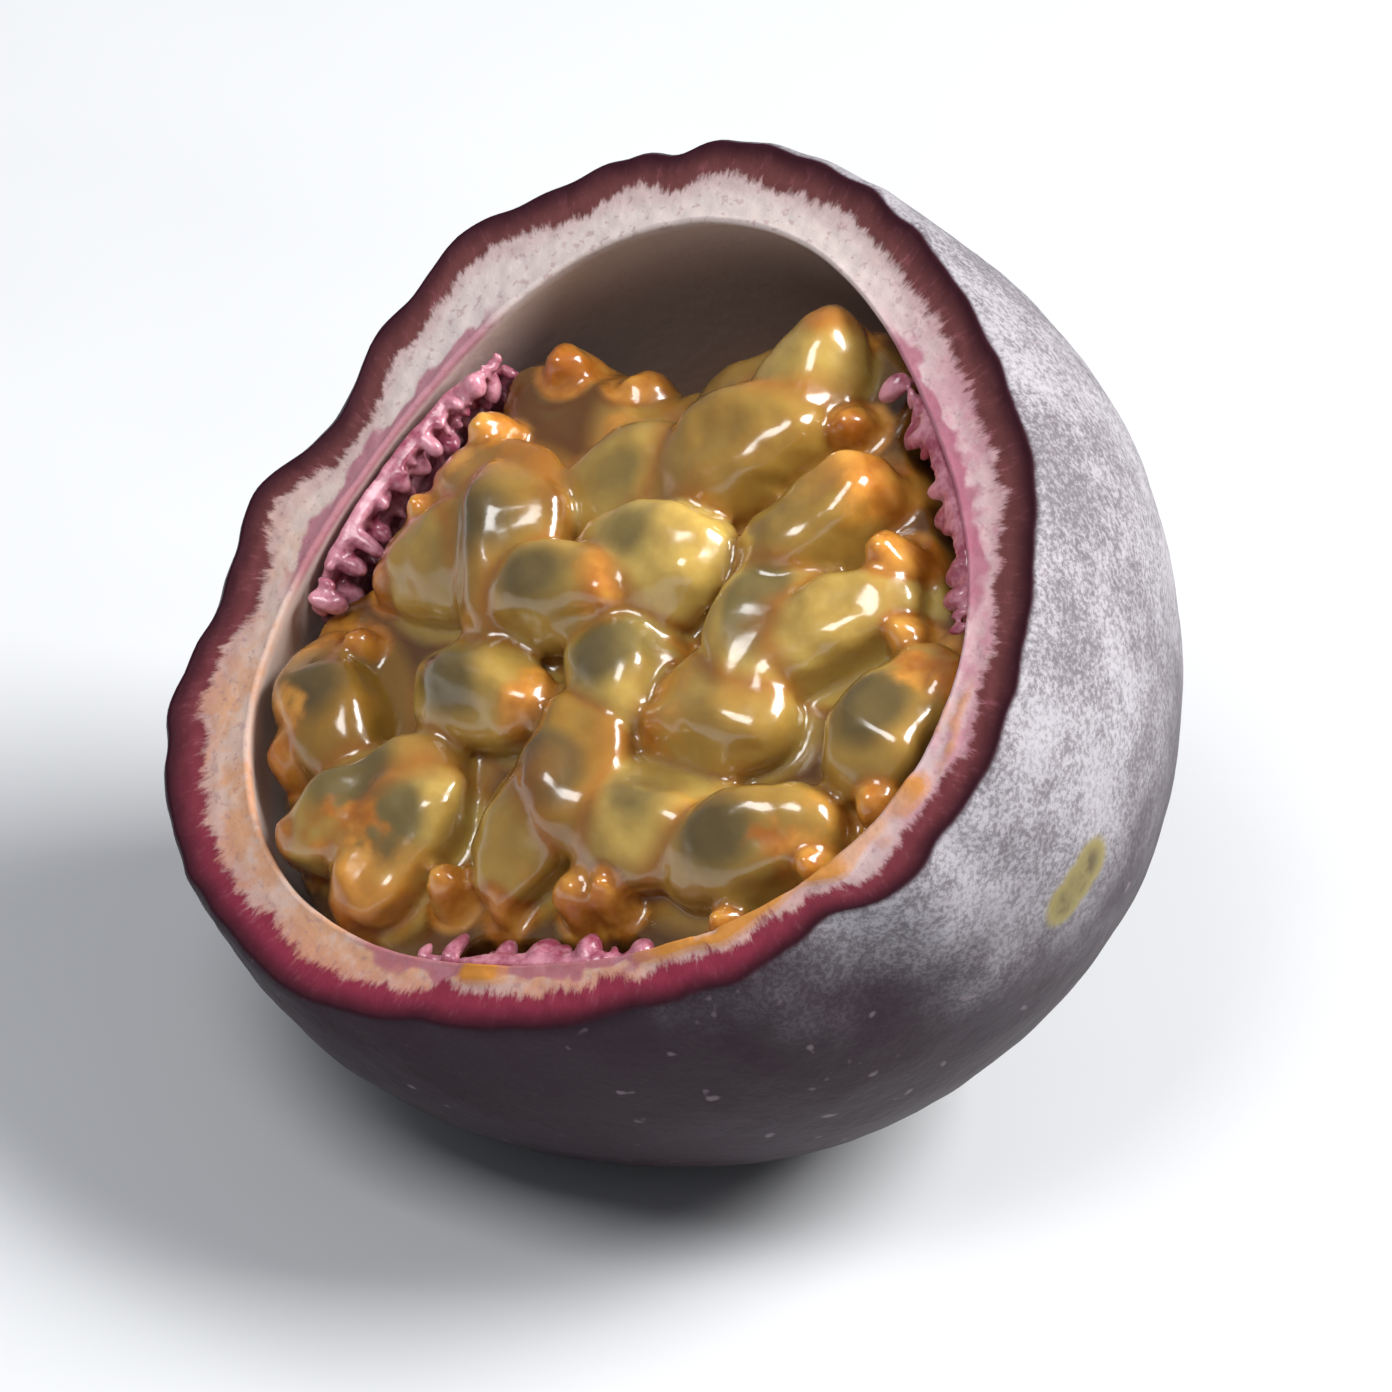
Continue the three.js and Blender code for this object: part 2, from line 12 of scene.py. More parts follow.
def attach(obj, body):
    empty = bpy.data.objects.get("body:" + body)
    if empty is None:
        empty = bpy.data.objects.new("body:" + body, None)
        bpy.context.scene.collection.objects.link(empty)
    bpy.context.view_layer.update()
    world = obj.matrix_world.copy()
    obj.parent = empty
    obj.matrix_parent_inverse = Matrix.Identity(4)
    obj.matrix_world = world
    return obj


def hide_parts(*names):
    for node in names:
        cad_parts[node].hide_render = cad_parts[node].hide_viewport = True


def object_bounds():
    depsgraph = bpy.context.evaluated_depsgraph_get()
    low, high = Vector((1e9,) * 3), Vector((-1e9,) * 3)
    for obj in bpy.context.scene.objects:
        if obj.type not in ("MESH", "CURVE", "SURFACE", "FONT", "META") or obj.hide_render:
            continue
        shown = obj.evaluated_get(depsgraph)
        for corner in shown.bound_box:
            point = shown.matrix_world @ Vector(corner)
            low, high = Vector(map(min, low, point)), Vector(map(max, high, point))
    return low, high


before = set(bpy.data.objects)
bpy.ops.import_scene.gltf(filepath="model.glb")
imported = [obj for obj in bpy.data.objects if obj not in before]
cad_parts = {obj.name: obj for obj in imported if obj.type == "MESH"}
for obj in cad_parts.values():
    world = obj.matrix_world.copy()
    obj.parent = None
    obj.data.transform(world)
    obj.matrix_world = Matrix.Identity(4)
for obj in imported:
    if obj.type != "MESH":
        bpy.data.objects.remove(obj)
cad_low, cad_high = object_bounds()
print("model box in millimetres", [round(1000 * (b - a), 1) for a, b in zip(cad_low, cad_high)])

# %% [markdown]
# The fruit is worked out in millimetres in the frame of its cut: x to the right, y up the slope of
# the cut face, z out of it. A cut fruit is easiest to describe that way, because the rings of skin
# and pith and the rows of sacs all go round the same axis. One matrix then lays it down.

# %% The frame of the cut
DEG = np.pi / 180
MM = 0.001
GIRTH_RADIUS = 26.8
HALF_LENGTH = 25.3
CUT_ABOVE_GIRTH = 7.7
CUT_TILT = 38 * DEG
REST_DEPTH = 0.8

down = np.array([0, -np.sin(CUT_TILT), -np.cos(CUT_TILT)])
support = np.hypot(GIRTH_RADIUS * down[1], HALF_LENGTH * down[2])
rest_point = np.array([0, GIRTH_RADIUS ** 2 * down[1], HALF_LENGTH ** 2 * down[2]])
rest_point = rest_point * (1 - REST_DEPTH / support) / support - [0, 0, CUT_ABOVE_GIRTH]
lay_down = Matrix.Rotation(CUT_TILT, 3, "X")
lay_down_rows = np.array(lay_down)


def to_world(points):
    """Points of the frame of the cut, in millimetres, as places over the floor, in metres."""
    return (np.asarray(points) - rest_point) @ lay_down_rows.T * MM


def to_cut(places):
    """The other way round: places over the floor, in metres, in the frame of the cut."""
    return np.asarray(places) / MM @ lay_down_rows + rest_point


print("middle of the cut in millimetres", (to_world([0, 0, 0]) / MM).round(1))

# %% [markdown]
# A passion fruit is nearly a ball, and its rind sags into three soft corners once it is cut. So the
# skin is an ellipsoid with a three-lobed wave that fades below the edge, plus a few dents that were
# seen on the cut edge. The hollow is a smaller ellipsoid, a little off the middle.

# %% Outline formulas
LOBE_SHARE = 0.056
FIRST_LOBE = 2 * DEG
LOBE_FADE = 14
# Each dent's angle and reach in degrees, and its depth in millimetres.
EDGE_DENTS = [(18, 14.4, 0.8), (31, 12, 0.6), (125, 4.8, 0.6), (152, 11.2, -1.1),
              (179, 12.8, 1.5), (193, 8, -0.7), (208, 12, 0.9), (253, 16, 0.4),
              (301, 18, -0.5), (342, 9.6, 0.8), (351, 9, -0.7)]
DENT_FADE = 7
SWELL = 0.22
SWELLS_ROUND = 5
SWELL_SPACING = 9
WALL = 4.6
FLOOR = 4.4
HOLLOW_SHIFT = 1.1
HOLLOW_SHIFT_ANGLE = -38 * DEG
GAP = 0.3
HOLLOW_RADIUS = GIRTH_RADIUS - WALL
HOLLOW_REACH = HALF_LENGTH - FLOOR
SCOOP_ANGLE = 120 * DEG
SCOOP_HALF_WIDTH = 58 * DEG
SCOOP_DEPTH = 1.3


def polar(angle, radius, height):
    """Points by angle, radius and height, as an array whose last side is x, y, z."""
    angle, radius, height = np.broadcast_arrays(angle, radius, height)
    return np.stack([radius * np.cos(angle), radius * np.sin(angle), height], axis=-1)


HOLLOW_OFFSET = polar(HOLLOW_SHIFT_ANGLE, HOLLOW_SHIFT, 0)


def nearness(angle, middle, half_width):
    """1 where an angle is the middle one, 0 from the half-width on."""
    apart = np.abs((angle - middle + np.pi) % (2 * np.pi) - np.pi)
    return np.where(apart < half_width, 0.5 + 0.5 * np.cos(np.pi * apart / half_width), 0)


def lobe_factor(angle, height):
    """How much wider the fruit is at an angle, because of its three soft corners."""
    return 1 + LOBE_SHARE * np.cos(3 * (angle - FIRST_LOBE)) * np.exp(height / LOBE_FADE)


def unevenness(angle, height):
    """How far the skin swells out at a place, with the dents of the cut edge."""
    wave = np.sin(SWELLS_ROUND * angle + height / SWELL_SPACING)
    swell = SWELL * wave * np.cos(2 * angle - height / SWELL_SPACING)
    dents = sum(depth * nearness(angle, at * DEG, reach * DEG) for at, reach, depth in EDGE_DENTS)
    return swell - dents * np.exp(height / DENT_FADE)


def skin_points(angle, latitude):
    """Points of the skin, by the angle round the axis and the latitude down from the girth."""
    height = -CUT_ABOVE_GIRTH - HALF_LENGTH * np.sin(latitude)
    round_part = GIRTH_RADIUS * lobe_factor(angle, height)
    return polar(angle, (round_part + unevenness(angle, height)) * np.cos(latitude), height)


def hollow_latitude(height):
    """The latitude at which the wall of the hollow has a height."""
    return np.arcsin(np.minimum(1, -(np.minimum(0, height) + CUT_ABOVE_GIRTH) / HOLLOW_REACH))


def hollow_points(angle, latitude, inset=0):
    """Points of the hollow's plain wall, or of a surface that lies inset from it."""
    height = -CUT_ABOVE_GIRTH - (HOLLOW_REACH - inset) * np.sin(latitude)
    radius = (HOLLOW_RADIUS * lobe_factor(angle, height) - inset) * np.cos(latitude)
    return polar(angle, np.maximum(0, radius), height) + HOLLOW_OFFSET


def hollow_place(angle, height, inset=0):
    """The same, by height instead of latitude."""
    return hollow_points(angle, hollow_latitude(height), inset)


def wall_points(angle, latitude):
    """The wall itself, which is scooped out on the side where no pulp lies against it."""
    scoop = SCOOP_DEPTH * nearness(angle, SCOOP_ANGLE, SCOOP_HALF_WIDTH) * np.cos(latitude)
    return hollow_points(angle, latitude) + polar(angle, scoop, 0)


EDGE_LATITUDE = -np.arcsin(CUT_ABOVE_GIRTH / HALF_LENGTH)
print("cut edge in millimetres across", round(2 * GIRTH_RADIUS * np.cos(EDGE_LATITUDE), 1))

# %% [markdown]
# Every surface here is a stack of rings or a patch of a grid, so two helpers make all the meshes.
# Each vertex also keeps a few numbers, such as how deep it lies or how far it is from the skin: the
# materials read them, which ties the colours to the anatomy instead of to a picture.

# %% Mesh helpers
NOISE_SHIFT = (7.3, -4.1, 2.9)
DRAW_FACTOR = 16807
DRAW_MODULUS = 2147483647


def ring_angles(count):
    return np.arange(count) * 2 * np.pi / count


def ramp(value, low, high):
    """0 up to the low end, 1 from the high end on, and straight in between."""
    return np.clip((value - low) / (high - low), 0, 1)


def unit(vector):
    return vector / np.linalg.norm(vector)


def grid_faces(rows, columns, first=0):
    """Quads of a grid whose columns close on themselves, rows going up and columns turning left."""
    row, column = np.meshgrid(np.arange(rows - 1), np.arange(columns), indexing="ij")
    here = first + row * columns + column
    beside = first + row * columns + (column + 1) % columns
    return np.stack([here, beside, beside + columns, here + columns], axis=-1).reshape(-1, 4)


def stack_of_rings(rings, start, end, first=0):
    """Vertices, quads and triangles of rings (rows, columns, xyz) that a point closes at each end."""
    rows, columns = rings.shape[:2]
    points = np.concatenate([rings.reshape(-1, 3), [start], [end]])
    k = np.arange(columns)
    beside = (k + 1) % columns
    low, high = first + rows * columns, first + rows * columns + 1
    last = first + (rows - 1) * columns
    bottom = np.stack([np.full(columns, low), first + beside, first + k], axis=-1)
    top = np.stack([last + k, last + beside, np.full(columns, high)], axis=-1)
    return points, grid_faces(rows, columns, first), np.concatenate([bottom, top])


def make_piece(name, points, faces, attributes=None):
    """A smooth mesh object from points of the frame of the cut, with numbers kept on its vertices."""
    mesh = bpy.data.meshes.new(name)
    mesh.from_pydata(to_world(points).tolist(), [], [list(map(int, face)) for face in faces])
    mesh.polygons.foreach_set("use_smooth", [True] * len(mesh.polygons))
    for key, values in (attributes or {}).items():
        values = np.asarray(values, dtype=np.float32)
        kind = "FLOAT" if values.ndim == 1 else "FLOAT_VECTOR"
        field = "value" if values.ndim == 1 else "vector"
        mesh.attributes.new(key, kind, "POINT").data.foreach_set(field, values.ravel())
    piece = bpy.data.objects.new(name, mesh)
    bpy.context.scene.collection.objects.link(piece)
    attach(piece, "root")
    return piece


def rough(points, size, seed=0):
    """Smooth noise from -1 to 1 at each point, with lumps of about that size in millimetres."""
    shift = Vector([step * seed for step in NOISE_SHIFT])
    return np.array([noise.noise(Vector(p) / size + shift) for p in np.asarray(points).reshape(-1, 3)])


def rough_layers(points, layers):
    """Several roughnesses in one, each given by its height, its size of lump and its seed."""
    return sum(height * rough(points, size, seed) for height, size, seed in layers)


def seeded_draw(seed):
    """The same numbers from the same seed each time, between 0 and 1 unless a range is given."""
    state = seed * DRAW_FACTOR % DRAW_MODULUS

    def draw(low=0.0, high=1.0):
        nonlocal state
        state = state * DRAW_FACTOR % DRAW_MODULUS
        return low + (high - low) * state / DRAW_MODULUS
    return draw


def between(ends, share):
    """The value that lies that share of the way from one end to the other."""
    return ends[0] + (ends[1] - ends[0]) * share


def either(draw, spread):
    """A drawn value that lies up to the spread to each side of 0."""
    return draw(-spread, spread)


# %% [markdown]
# The rind is one closed surface: the skin from the stalk scar up to the edge, the flat cut face,
# and the wall of the hollow down to its floor. The drying skin puckers along the cut, so its edge
# runs in small waves that fade out below. The pith, which is spongy, dips a little between its
# rims, and dribbles of orange juice stand up on it where the pulp was dragged over the edge.

# %% The skin and the stalk scar
COLUMNS = 400
RIM_RADIUS = 25
PUCKER = 0.11
PUCKERS_ROUND = 37
PUCKER_FADE = 4
PUCKER_DRIFT = 4
PUCKER_SLANT = 3
PUCKER_CHANGES = dict(radius=14, size=4, seed=2)
EDGE_BUMPS = dict(height=1.6, size=2.2, seed=8)
DIMPLE_DEPTH = 1.3
DIMPLE_RADIUS = 3.4
STUB_RADIUS = 1.85
STUB_HEIGHT = 1.9
STUB_EDGE = 0.05

angles = ring_angles(COLUMNS)


def scar_points(angle, radius):
    """Points round the stalk scar: a shallow dimple with the stub of the stalk in it."""
    latitude = np.arccos(radius / GIRTH_RADIUS)
    dimple = DIMPLE_DEPTH * np.exp(-(radius / DIMPLE_RADIUS) ** 2)
    stub = STUB_HEIGHT / (1 + np.exp((radius - STUB_RADIUS) / STUB_EDGE))
    return polar(angle, radius, -CUT_ABOVE_GIRTH - HALF_LENGTH * np.sin(latitude) + dimple - stub)


def puckered(ring):
    """A ring of the skin, with the small waves that the drying edge has."""
    angle = np.arctan2(ring[:, 1], ring[:, 0])
    slant = ring[:, 2] / PUCKER_SLANT
    changes, edge_bumps = PUCKER_CHANGES, EDGE_BUMPS
    uneven = 0.5 + rough(polar(angle, changes["radius"], 0), changes["size"], changes["seed"])
    wave = np.sin(PUCKERS_ROUND * angle + PUCKER_DRIFT * np.sin(3 * angle) + slant)
    bumps = rough(polar(angle, RIM_RADIUS, slant), edge_bumps["size"], edge_bumps["seed"])
    out = PUCKER * (uneven * wave + edge_bumps["height"] * bumps) * np.exp(ring[:, 2] / PUCKER_FADE)
    return ring + polar(angle, out, 0)


# %% [markdown]
# The rings go from the scar up the skin, over the cut face and down the wall of the hollow. Each
# one knows how far in from the skin it lies, which later tells the skin from the pith. They lie
# closest together where the form turns sharply: at the stub and along both rims.

# %% All rings of the rind
SKIN_ROWS = 92
CUT_ROWS = 26
HOLLOW_ROWS = 40
SCAR_RADII = [0.5, 1.0, 1.4, 1.65, 1.8, 1.9, 2.05, 2.4, 3.0, 3.9, 4.8, 5.6, 6.4]
SCAR_EDGE = 7
EDGE_ROUND = 0.25
PITH_DIP = 0.2
PITH_DIP_POWER = 0.7
LAST_RING = 0.985
PAST_WALL = 0.2


def rind_rings():
    """All rings of the rind, with how far each lies in from the skin."""
    scar_edge = np.arccos(SCAR_EDGE / GIRTH_RADIUS)
    rings = [scar_points(angles, radius) for radius in SCAR_RADII]
    for share in np.linspace(1, 0, SKIN_ROWS):
        ring = puckered(skin_points(angles, EDGE_LATITUDE + (scar_edge - EDGE_LATITUDE) * share))
        rings.append(ring + [0, 0, -EDGE_ROUND * (share == 0)])
    insets = [np.zeros(COLUMNS) for _ in rings]
    outer = puckered(skin_points(angles, EDGE_LATITUDE))
    inner = wall_points(angles, hollow_latitude(0))
    wall = np.linalg.norm(outer - inner, axis=1)
    for share in np.linspace(0, 1, CUT_ROWS):
        along = (EDGE_ROUND + share * (wall - 2 * EDGE_ROUND)) / wall
        ring = outer + (inner - outer) * along[:, None]
        ring[:, 2] = -PITH_DIP * np.sin(np.pi * share) ** PITH_DIP_POWER
        rings.append(ring)
        insets.append(along * wall)
    top = hollow_latitude(-EDGE_ROUND)
    for share in np.linspace(0, LAST_RING, HOLLOW_ROWS):
        rings.append(wall_points(angles, top + (np.pi / 2 - top) * share))
        insets.append(wall + PAST_WALL)
    return np.array(rings), np.array(insets)


# %% [markdown]
# Juice has run over the edge in a few places, and the pith beside each seed bed is tinted pink.
# Painting them would need an image, so both are kept as numbers on the vertices, with ragged
# borders from noise. The juice can then stand up as real shape too.

# %% Juice and tint on the cut
# Each spot's angle and reach in degrees, and its strength.
JUICE_SPOTS = [(334, 27, 1.0), (290, 10, 1.0), (5, 17, 0.6)]
JUICE_RAGS = [(1.8, 2.4, 5), (0.8, 0.9, 6)]
# Each bed's middle and half-width in degrees, its number of strands and its seed.
SEED_BEDS = {
    "placenta_right": (52, 27, 26, 11),
    "placenta_left": (179, 27, 26, 23),
    "placenta_lower": (297, 22, 20, 37),
}
TINT_HALF_WIDTH = 36
TINT_REACH = 1.3
TINT_STEEPNESS = 2.2
TINT_BOTTOM = -2
TINT_RAGS = [(0.7, 1.6, 9), (0.5, 0.7, 10)]


def bed_tint_on(points, inset, wall, turn):
    """How pink the pith is beside the seed beds, in ragged patches along its inner rim."""
    beside = sum(nearness(turn, bed[0] * DEG, TINT_HALF_WIDTH * DEG) for bed in SEED_BEDS.values())
    reach = np.maximum(TINT_REACH * (1 + rough_layers(points, TINT_RAGS)), 0.1)
    inner = 1 - (wall - inset) / reach
    return ramp(beside, 0, 0.4) * ramp(TINT_STEEPNESS * inner, 0, 1) * (points[:, 2] > TINT_BOTTOM)


def juice_on(points, inset, turn):
    """Where juice lies on the cut face, from 0 to 1."""
    spots = sum(share * nearness(turn, at * DEG, reach * DEG) for at, reach, share in JUICE_SPOTS)
    patches = ramp(rough_layers(points, JUICE_RAGS), -0.75, 0.25)
    over_pith = ramp(inset, 2.5, 3.0) * ramp(points[:, 2], -2, -0.5)
    return ramp(spots * patches, 0, 0.625) * over_pith


# %% [markdown]
# Living skin is never quite smooth, and a knife leaves the pith crumbly. Both are given as shape
# that noise moves in and out, and the place of every vertex is kept for the materials.

# %% Make the rind
SKIN_LUMPS = [(0.1, 3.2, 0), (0.04, 1.1, 3)]
SCAR_CALM = 5
CUT_CRUMBS = dict(height=0.07, size=0.7, seed=4)
JUICE_HEIGHT = 0.35
SCAR_MARGIN = 0.1
SCAR_HEIGHT = -20
BRISTLE_DRAW = 0.35
BRISTLE_SLANT = 0.1


def rind_relief(points, turn, radius, on_skin, on_cut, juice):
    """How far each vertex moves: soft lumps on the skin, crumbs and raised juice on the cut."""
    lumps = rough_layers(points, SKIN_LUMPS)
    relief = polar(turn, (radius > SCAR_CALM) * np.where(on_skin, 1, 0.5) * lumps, 0)
    crumbs = CUT_CRUMBS["height"] * rough(points, CUT_CRUMBS["size"], CUT_CRUMBS["seed"])
    relief[:, 2] += on_cut * (crumbs + JUICE_HEIGHT * juice * (0.6 + 0.4 * lumps))
    return relief


def make_rind():
    rings, insets = rind_rings()
    points, quads, triangles = stack_of_rings(rings, scar_points(0, 0), hollow_points(0, np.pi / 2))
    inset = np.concatenate([insets.ravel(), [0, insets[-1, 0]]])
    on_skin = inset < EDGE_ROUND
    on_cut = ~on_skin & (points[:, 2] > -EDGE_ROUND)
    radius = np.linalg.norm(points[:, :2], axis=1)
    turn = np.arctan2(points[:, 1], points[:, 0])
    juice = juice_on(points, inset, turn)
    wall = np.tile(insets[-1] - PAST_WALL, len(rings))
    relief = rind_relief(points, turn, radius, on_skin, on_cut, juice)
    piece = make_piece("rind_skin_and_pith", points + relief, [*quads, *triangles], {
        "inset": inset,
        "depth": -points[:, 2],
        "juice": juice,
        "tint": bed_tint_on(points, inset, np.concatenate([wall, wall[:2]]), turn),
        "grain": polar(turn, RIM_RADIUS, BRISTLE_DRAW * inset + BRISTLE_SLANT * points[:, 2]),
        "scar": (radius < STUB_RADIUS + SCAR_MARGIN) & (points[:, 2] < SCAR_HEIGHT) & on_skin,
    })
    # The flat spot rests on the floor, and no lump of the skin may dip below it.
    for vertex in piece.data.vertices:
        vertex.co.z = max(0.0, vertex.co.z)
    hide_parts("rind")
    return piece


rind = make_rind()
print("rind", len(rind.data.polygons), "faces")

# %% [markdown]
# On the real fruit the seeds hang from three seed beds, bands of pink crumbly tissue along the wall.
# Each is made as a thin closed sheet that follows the wall, with rounded corners, thickest in its
# middle and narrower with its depth. Strands will stand on it.

# %% The sheets of the seed beds
BED_INSET = 0.42
BED_TOP = -0.5
BED_BOTTOM = -17
BED_THICKNESS = 0.9
BED_EDGE = 0.35
BED_NARROWING = 0.35
BED_THINNING = 75 * DEG
BED_CORNER = 0.3
BED_CORNER_POWER = 5
BED_ROOM = 3.5
BED_MARGIN = 5
BED_STEPS = (60, 60)


def bed_place(bed, across, down, inset):
    """A place on a band, by its shares across and down, and how far it lies in from the wall."""
    middle, half_width = bed[:2]
    angle = (middle + (2 * across - 1) * half_width * (1 - BED_NARROWING * down)) * DEG
    return hollow_place(angle, BED_TOP + (BED_BOTTOM - BED_TOP) * down, inset)


def bed_sheet(bed):
    """The band as a closed sheet: its wall side, then its inner side, as one ring for each row."""
    columns, rows = BED_STEPS
    across = np.linspace(0, 1, columns)
    rounded = BED_CORNER * np.abs(2 * across - 1) ** BED_CORNER_POWER
    rings = []
    for step in np.linspace(0, 1, rows):
        down = rounded + (1 - rounded) * step
        swell = np.sin(np.pi * across) * np.cos(down * BED_THINNING)
        thickness = BED_EDGE + (BED_THICKNESS - BED_EDGE) * swell
        wall_side = bed_place(bed, across, down, BED_INSET)
        inner_side = bed_place(bed, across, down, BED_INSET + thickness)
        rings.append(np.concatenate([wall_side, inner_side[::-1]]))
    rings = np.array(rings[::-1])
    quads = grid_faces(len(rings), 2 * columns)
    caps = []
    for row, flip in ((0, False), (len(rings) - 1, True)):
        for i in range(columns - 1):
            a = row * 2 * columns
            cap = [a + i, a + 2 * columns - 1 - i, a + 2 * columns - 2 - i, a + i + 1]
            caps.append(cap[::-1] if flip else cap)
    return rings.reshape(-1, 3), [*quads, *caps]


# %% [markdown]
# A strand, an orange end and a juice sac are all soft bodies along an axis, so one helper makes
# them: it sets oval rings along the axis, after an outline of a few points that is smoothed first.

# %% Spindles
OUTLINE_END = 0.08
OUTLINE_ROUNDS = 3


def sides_of(axis):
    """The level direction across an axis, and the one over both."""
    across = unit(np.cross([0, 0, 1], axis))
    return across, unit(np.cross(axis, across))


def spindle(start, end, half_width, half_thickness, outline, sides):
    """Rings of a body along a straight axis, with an outline and an oval section."""
    axis = end - start
    across, over = sides_of(axis)
    turn = ring_angles(sides)
    along, share = np.array(outline).T
    middle = start + along[:, None, None] * axis
    return (middle + half_width * share[:, None, None] * np.cos(turn)[:, None] * across
            + half_thickness * share[:, None, None] * np.sin(turn)[:, None] * over)


def smooth_outline(outline, steps):
    """A fine outline through a few given points, rounded at both ends."""
    along, share = np.array([(0, 0), *outline, (1, 0)]).T
    place = 0.5 - 0.5 * np.cos(np.linspace(OUTLINE_END, 1 - OUTLINE_END, steps) * np.pi)
    smooth = np.interp(place, along, share)
    for _ in range(OUTLINE_ROUNDS):
        smooth[1:-1] = (smooth[:-2] + 2 * smooth[1:-1] + smooth[2:]) / 4
    return list(zip(place, smooth))


# %% [markdown]
# The strands are too many to place by hand. The golden share spreads them across the band without
# rows, a power crowds them near the cut, and a seeded draw varies each one. Small crumbs fill the
# space between. A remesh then joins all with the sheet, because real tissue has no seams.

# %% Strands and crumbs on the seed beds
GOLDEN_SHARE = 0.618
STRANDS_ACROSS = (0.04, 0.96)
STRANDS_DOWN = (0.02, 0.86)
STRAND_CROWDING = 2.2
STRAND_LENGTH = (1.5, 2.5)
STRAND_RADIUS = (0.5, 0.9)
STRAND_LEAN = 0.5
STRAND_DROOP = (-0.7, 0.3)
STRAND_OUTLINE = smooth_outline([(0.05, 0.6), (0.35, 1), (0.7, 0.85), (0.93, 0.5)], 9)
STRAND_SIDES = 12
CRUMBS = 130
CRUMB_LENGTH = 0.55
CRUMB_RADIUS = 0.45
BED_LUMP = 0.12
BED_LUMP_SIZE = 0.9
BED_VOXEL = 0.16 * MM
BED_SMOOTHING = 2


def bed_strands(bed):
    """Short strands that stand on the band, thickest near the cut, then small crumbs between."""
    count, seed = bed[2:]
    draw = seeded_draw(seed)
    for i in range(count + CRUMBS):
        crumb = i >= count
        number = i - count if crumb else i
        across = between(STRANDS_ACROSS, (number * GOLDEN_SHARE + 0.5) % 1)
        down = between(STRANDS_DOWN, (number / (CRUMBS if crumb else count)) ** STRAND_CROWDING)
        length = draw(*STRAND_LENGTH) * (CRUMB_LENGTH if crumb else 1)
        radius = draw(*STRAND_RADIUS) * (CRUMB_RADIUS if crumb else 1)
        start = bed_place(bed, across, down, BED_INSET + BED_EDGE / 2)
        end = bed_place(bed, across, down, BED_INSET + length)
        end = end + [either(draw, STRAND_LEAN), either(draw, STRAND_LEAN), draw(*STRAND_DROOP)]
        yield spindle(start, end, radius, radius, STRAND_OUTLINE, STRAND_SIDES), start, end


def remeshed(piece, voxel, smoothing):
    """Joins all that overlaps in a piece into one skin, and smooths it."""
    remesh = piece.modifiers.new("join", "REMESH")
    remesh.mode = "VOXEL"
    remesh.voxel_size = voxel
    remesh.use_smooth_shade = True
    smooth = piece.modifiers.new("soften", "SMOOTH")
    smooth.iterations = smoothing
    depsgraph = bpy.context.evaluated_depsgraph_get()
    mesh = bpy.data.meshes.new_from_object(piece.evaluated_get(depsgraph))
    piece.modifiers.clear()
    piece.data = mesh


def make_bed(name, bed):
    sheet, faces = bed_sheet(bed)
    parts, first = [sheet], len(sheet)
    for rings, start, end in bed_strands(bed):
        strand, quads, triangles = stack_of_rings(rings, start, end, first)
        parts.append(strand)
        faces.extend([*quads, *triangles])
        first += len(strand)
    points = np.concatenate(parts)
    points = points + BED_LUMP * np.stack([rough(points, BED_LUMP_SIZE, k) for k in range(3)], axis=-1)
    piece = make_piece(name + "_strands", points, faces)
    remeshed(piece, BED_VOXEL, BED_SMOOTHING)
    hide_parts(name)
    return piece


beds = [make_bed(name, bed) for name, bed in SEED_BEDS.items()]
print("seed beds", [len(piece.data.polygons) for piece in beds], "faces")

# %% [markdown]
# In a cut half that lies on its side the pulp sinks away from the upper wall, and an empty crescent
# stays there. Elsewhere it fills the hollow up to the wall and the seed beds. These short functions
# say how far from the wall it stays at each angle.

# %% The empty crescent
CRESCENT_ANGLE = 122
CRESCENT_HALF_WIDTH = 36
CRESCENT_REACH = 8.2
CRESCENT_DEPTH = 17


def crescent(angle):
    """How much an angle belongs to the empty crescent."""
    return nearness(angle, CRESCENT_ANGLE * DEG, CRESCENT_HALF_WIDTH * DEG)


def crescent_at(angle, height):
    """How far the pulp stays away from the wall there, in millimetres."""
    open_share = np.clip(1 + height / CRESCENT_DEPTH, 0, 1)
    return CRESCENT_REACH * crescent(angle) * np.sqrt(open_share)


def pulp_inset(angle):
    """How far the pulp stays away from the wall, or from the seed bed on it."""
    over_bed = any(nearness(angle, middle * DEG, (half_width + BED_MARGIN) * DEG) > 0
                   for middle, half_width, _, _ in SEED_BEDS.values())
    return BED_ROOM if over_bed else GAP


# %% [markdown]
# The pulp is a heap of juice sacs, each a soft bag round one seed, hung from the wall by an orange
# end. They lie in rows: the outer ones point inwards, except where they have slumped along the
# wall, and the inner ones lie in every direction. Rules with a seeded draw place them, one for
# each row, so that the heap looks grown and still comes out the same each time.

# %% Places of the sacs
WALL_SACS = dict(count=14, first=8, length=11.2, height=-2.2, rise=(-1, 0.8))
WALL_SPREAD = dict(angle=9, turn=30, height=0.8, length_share=(0.85, 1.15))
WALL_DRAWN_IN = 0.85
INNER_SACS = [dict(count=7, first=30, radius=9, length=10.8, height=-1.4),
              dict(count=3, first=80, radius=3.4, length=9.5, height=-1)]
INNER_SPREAD = dict(angle=12, radius=1, height=0.7, way=90, rise=1, length_share=(0.85, 1.1))
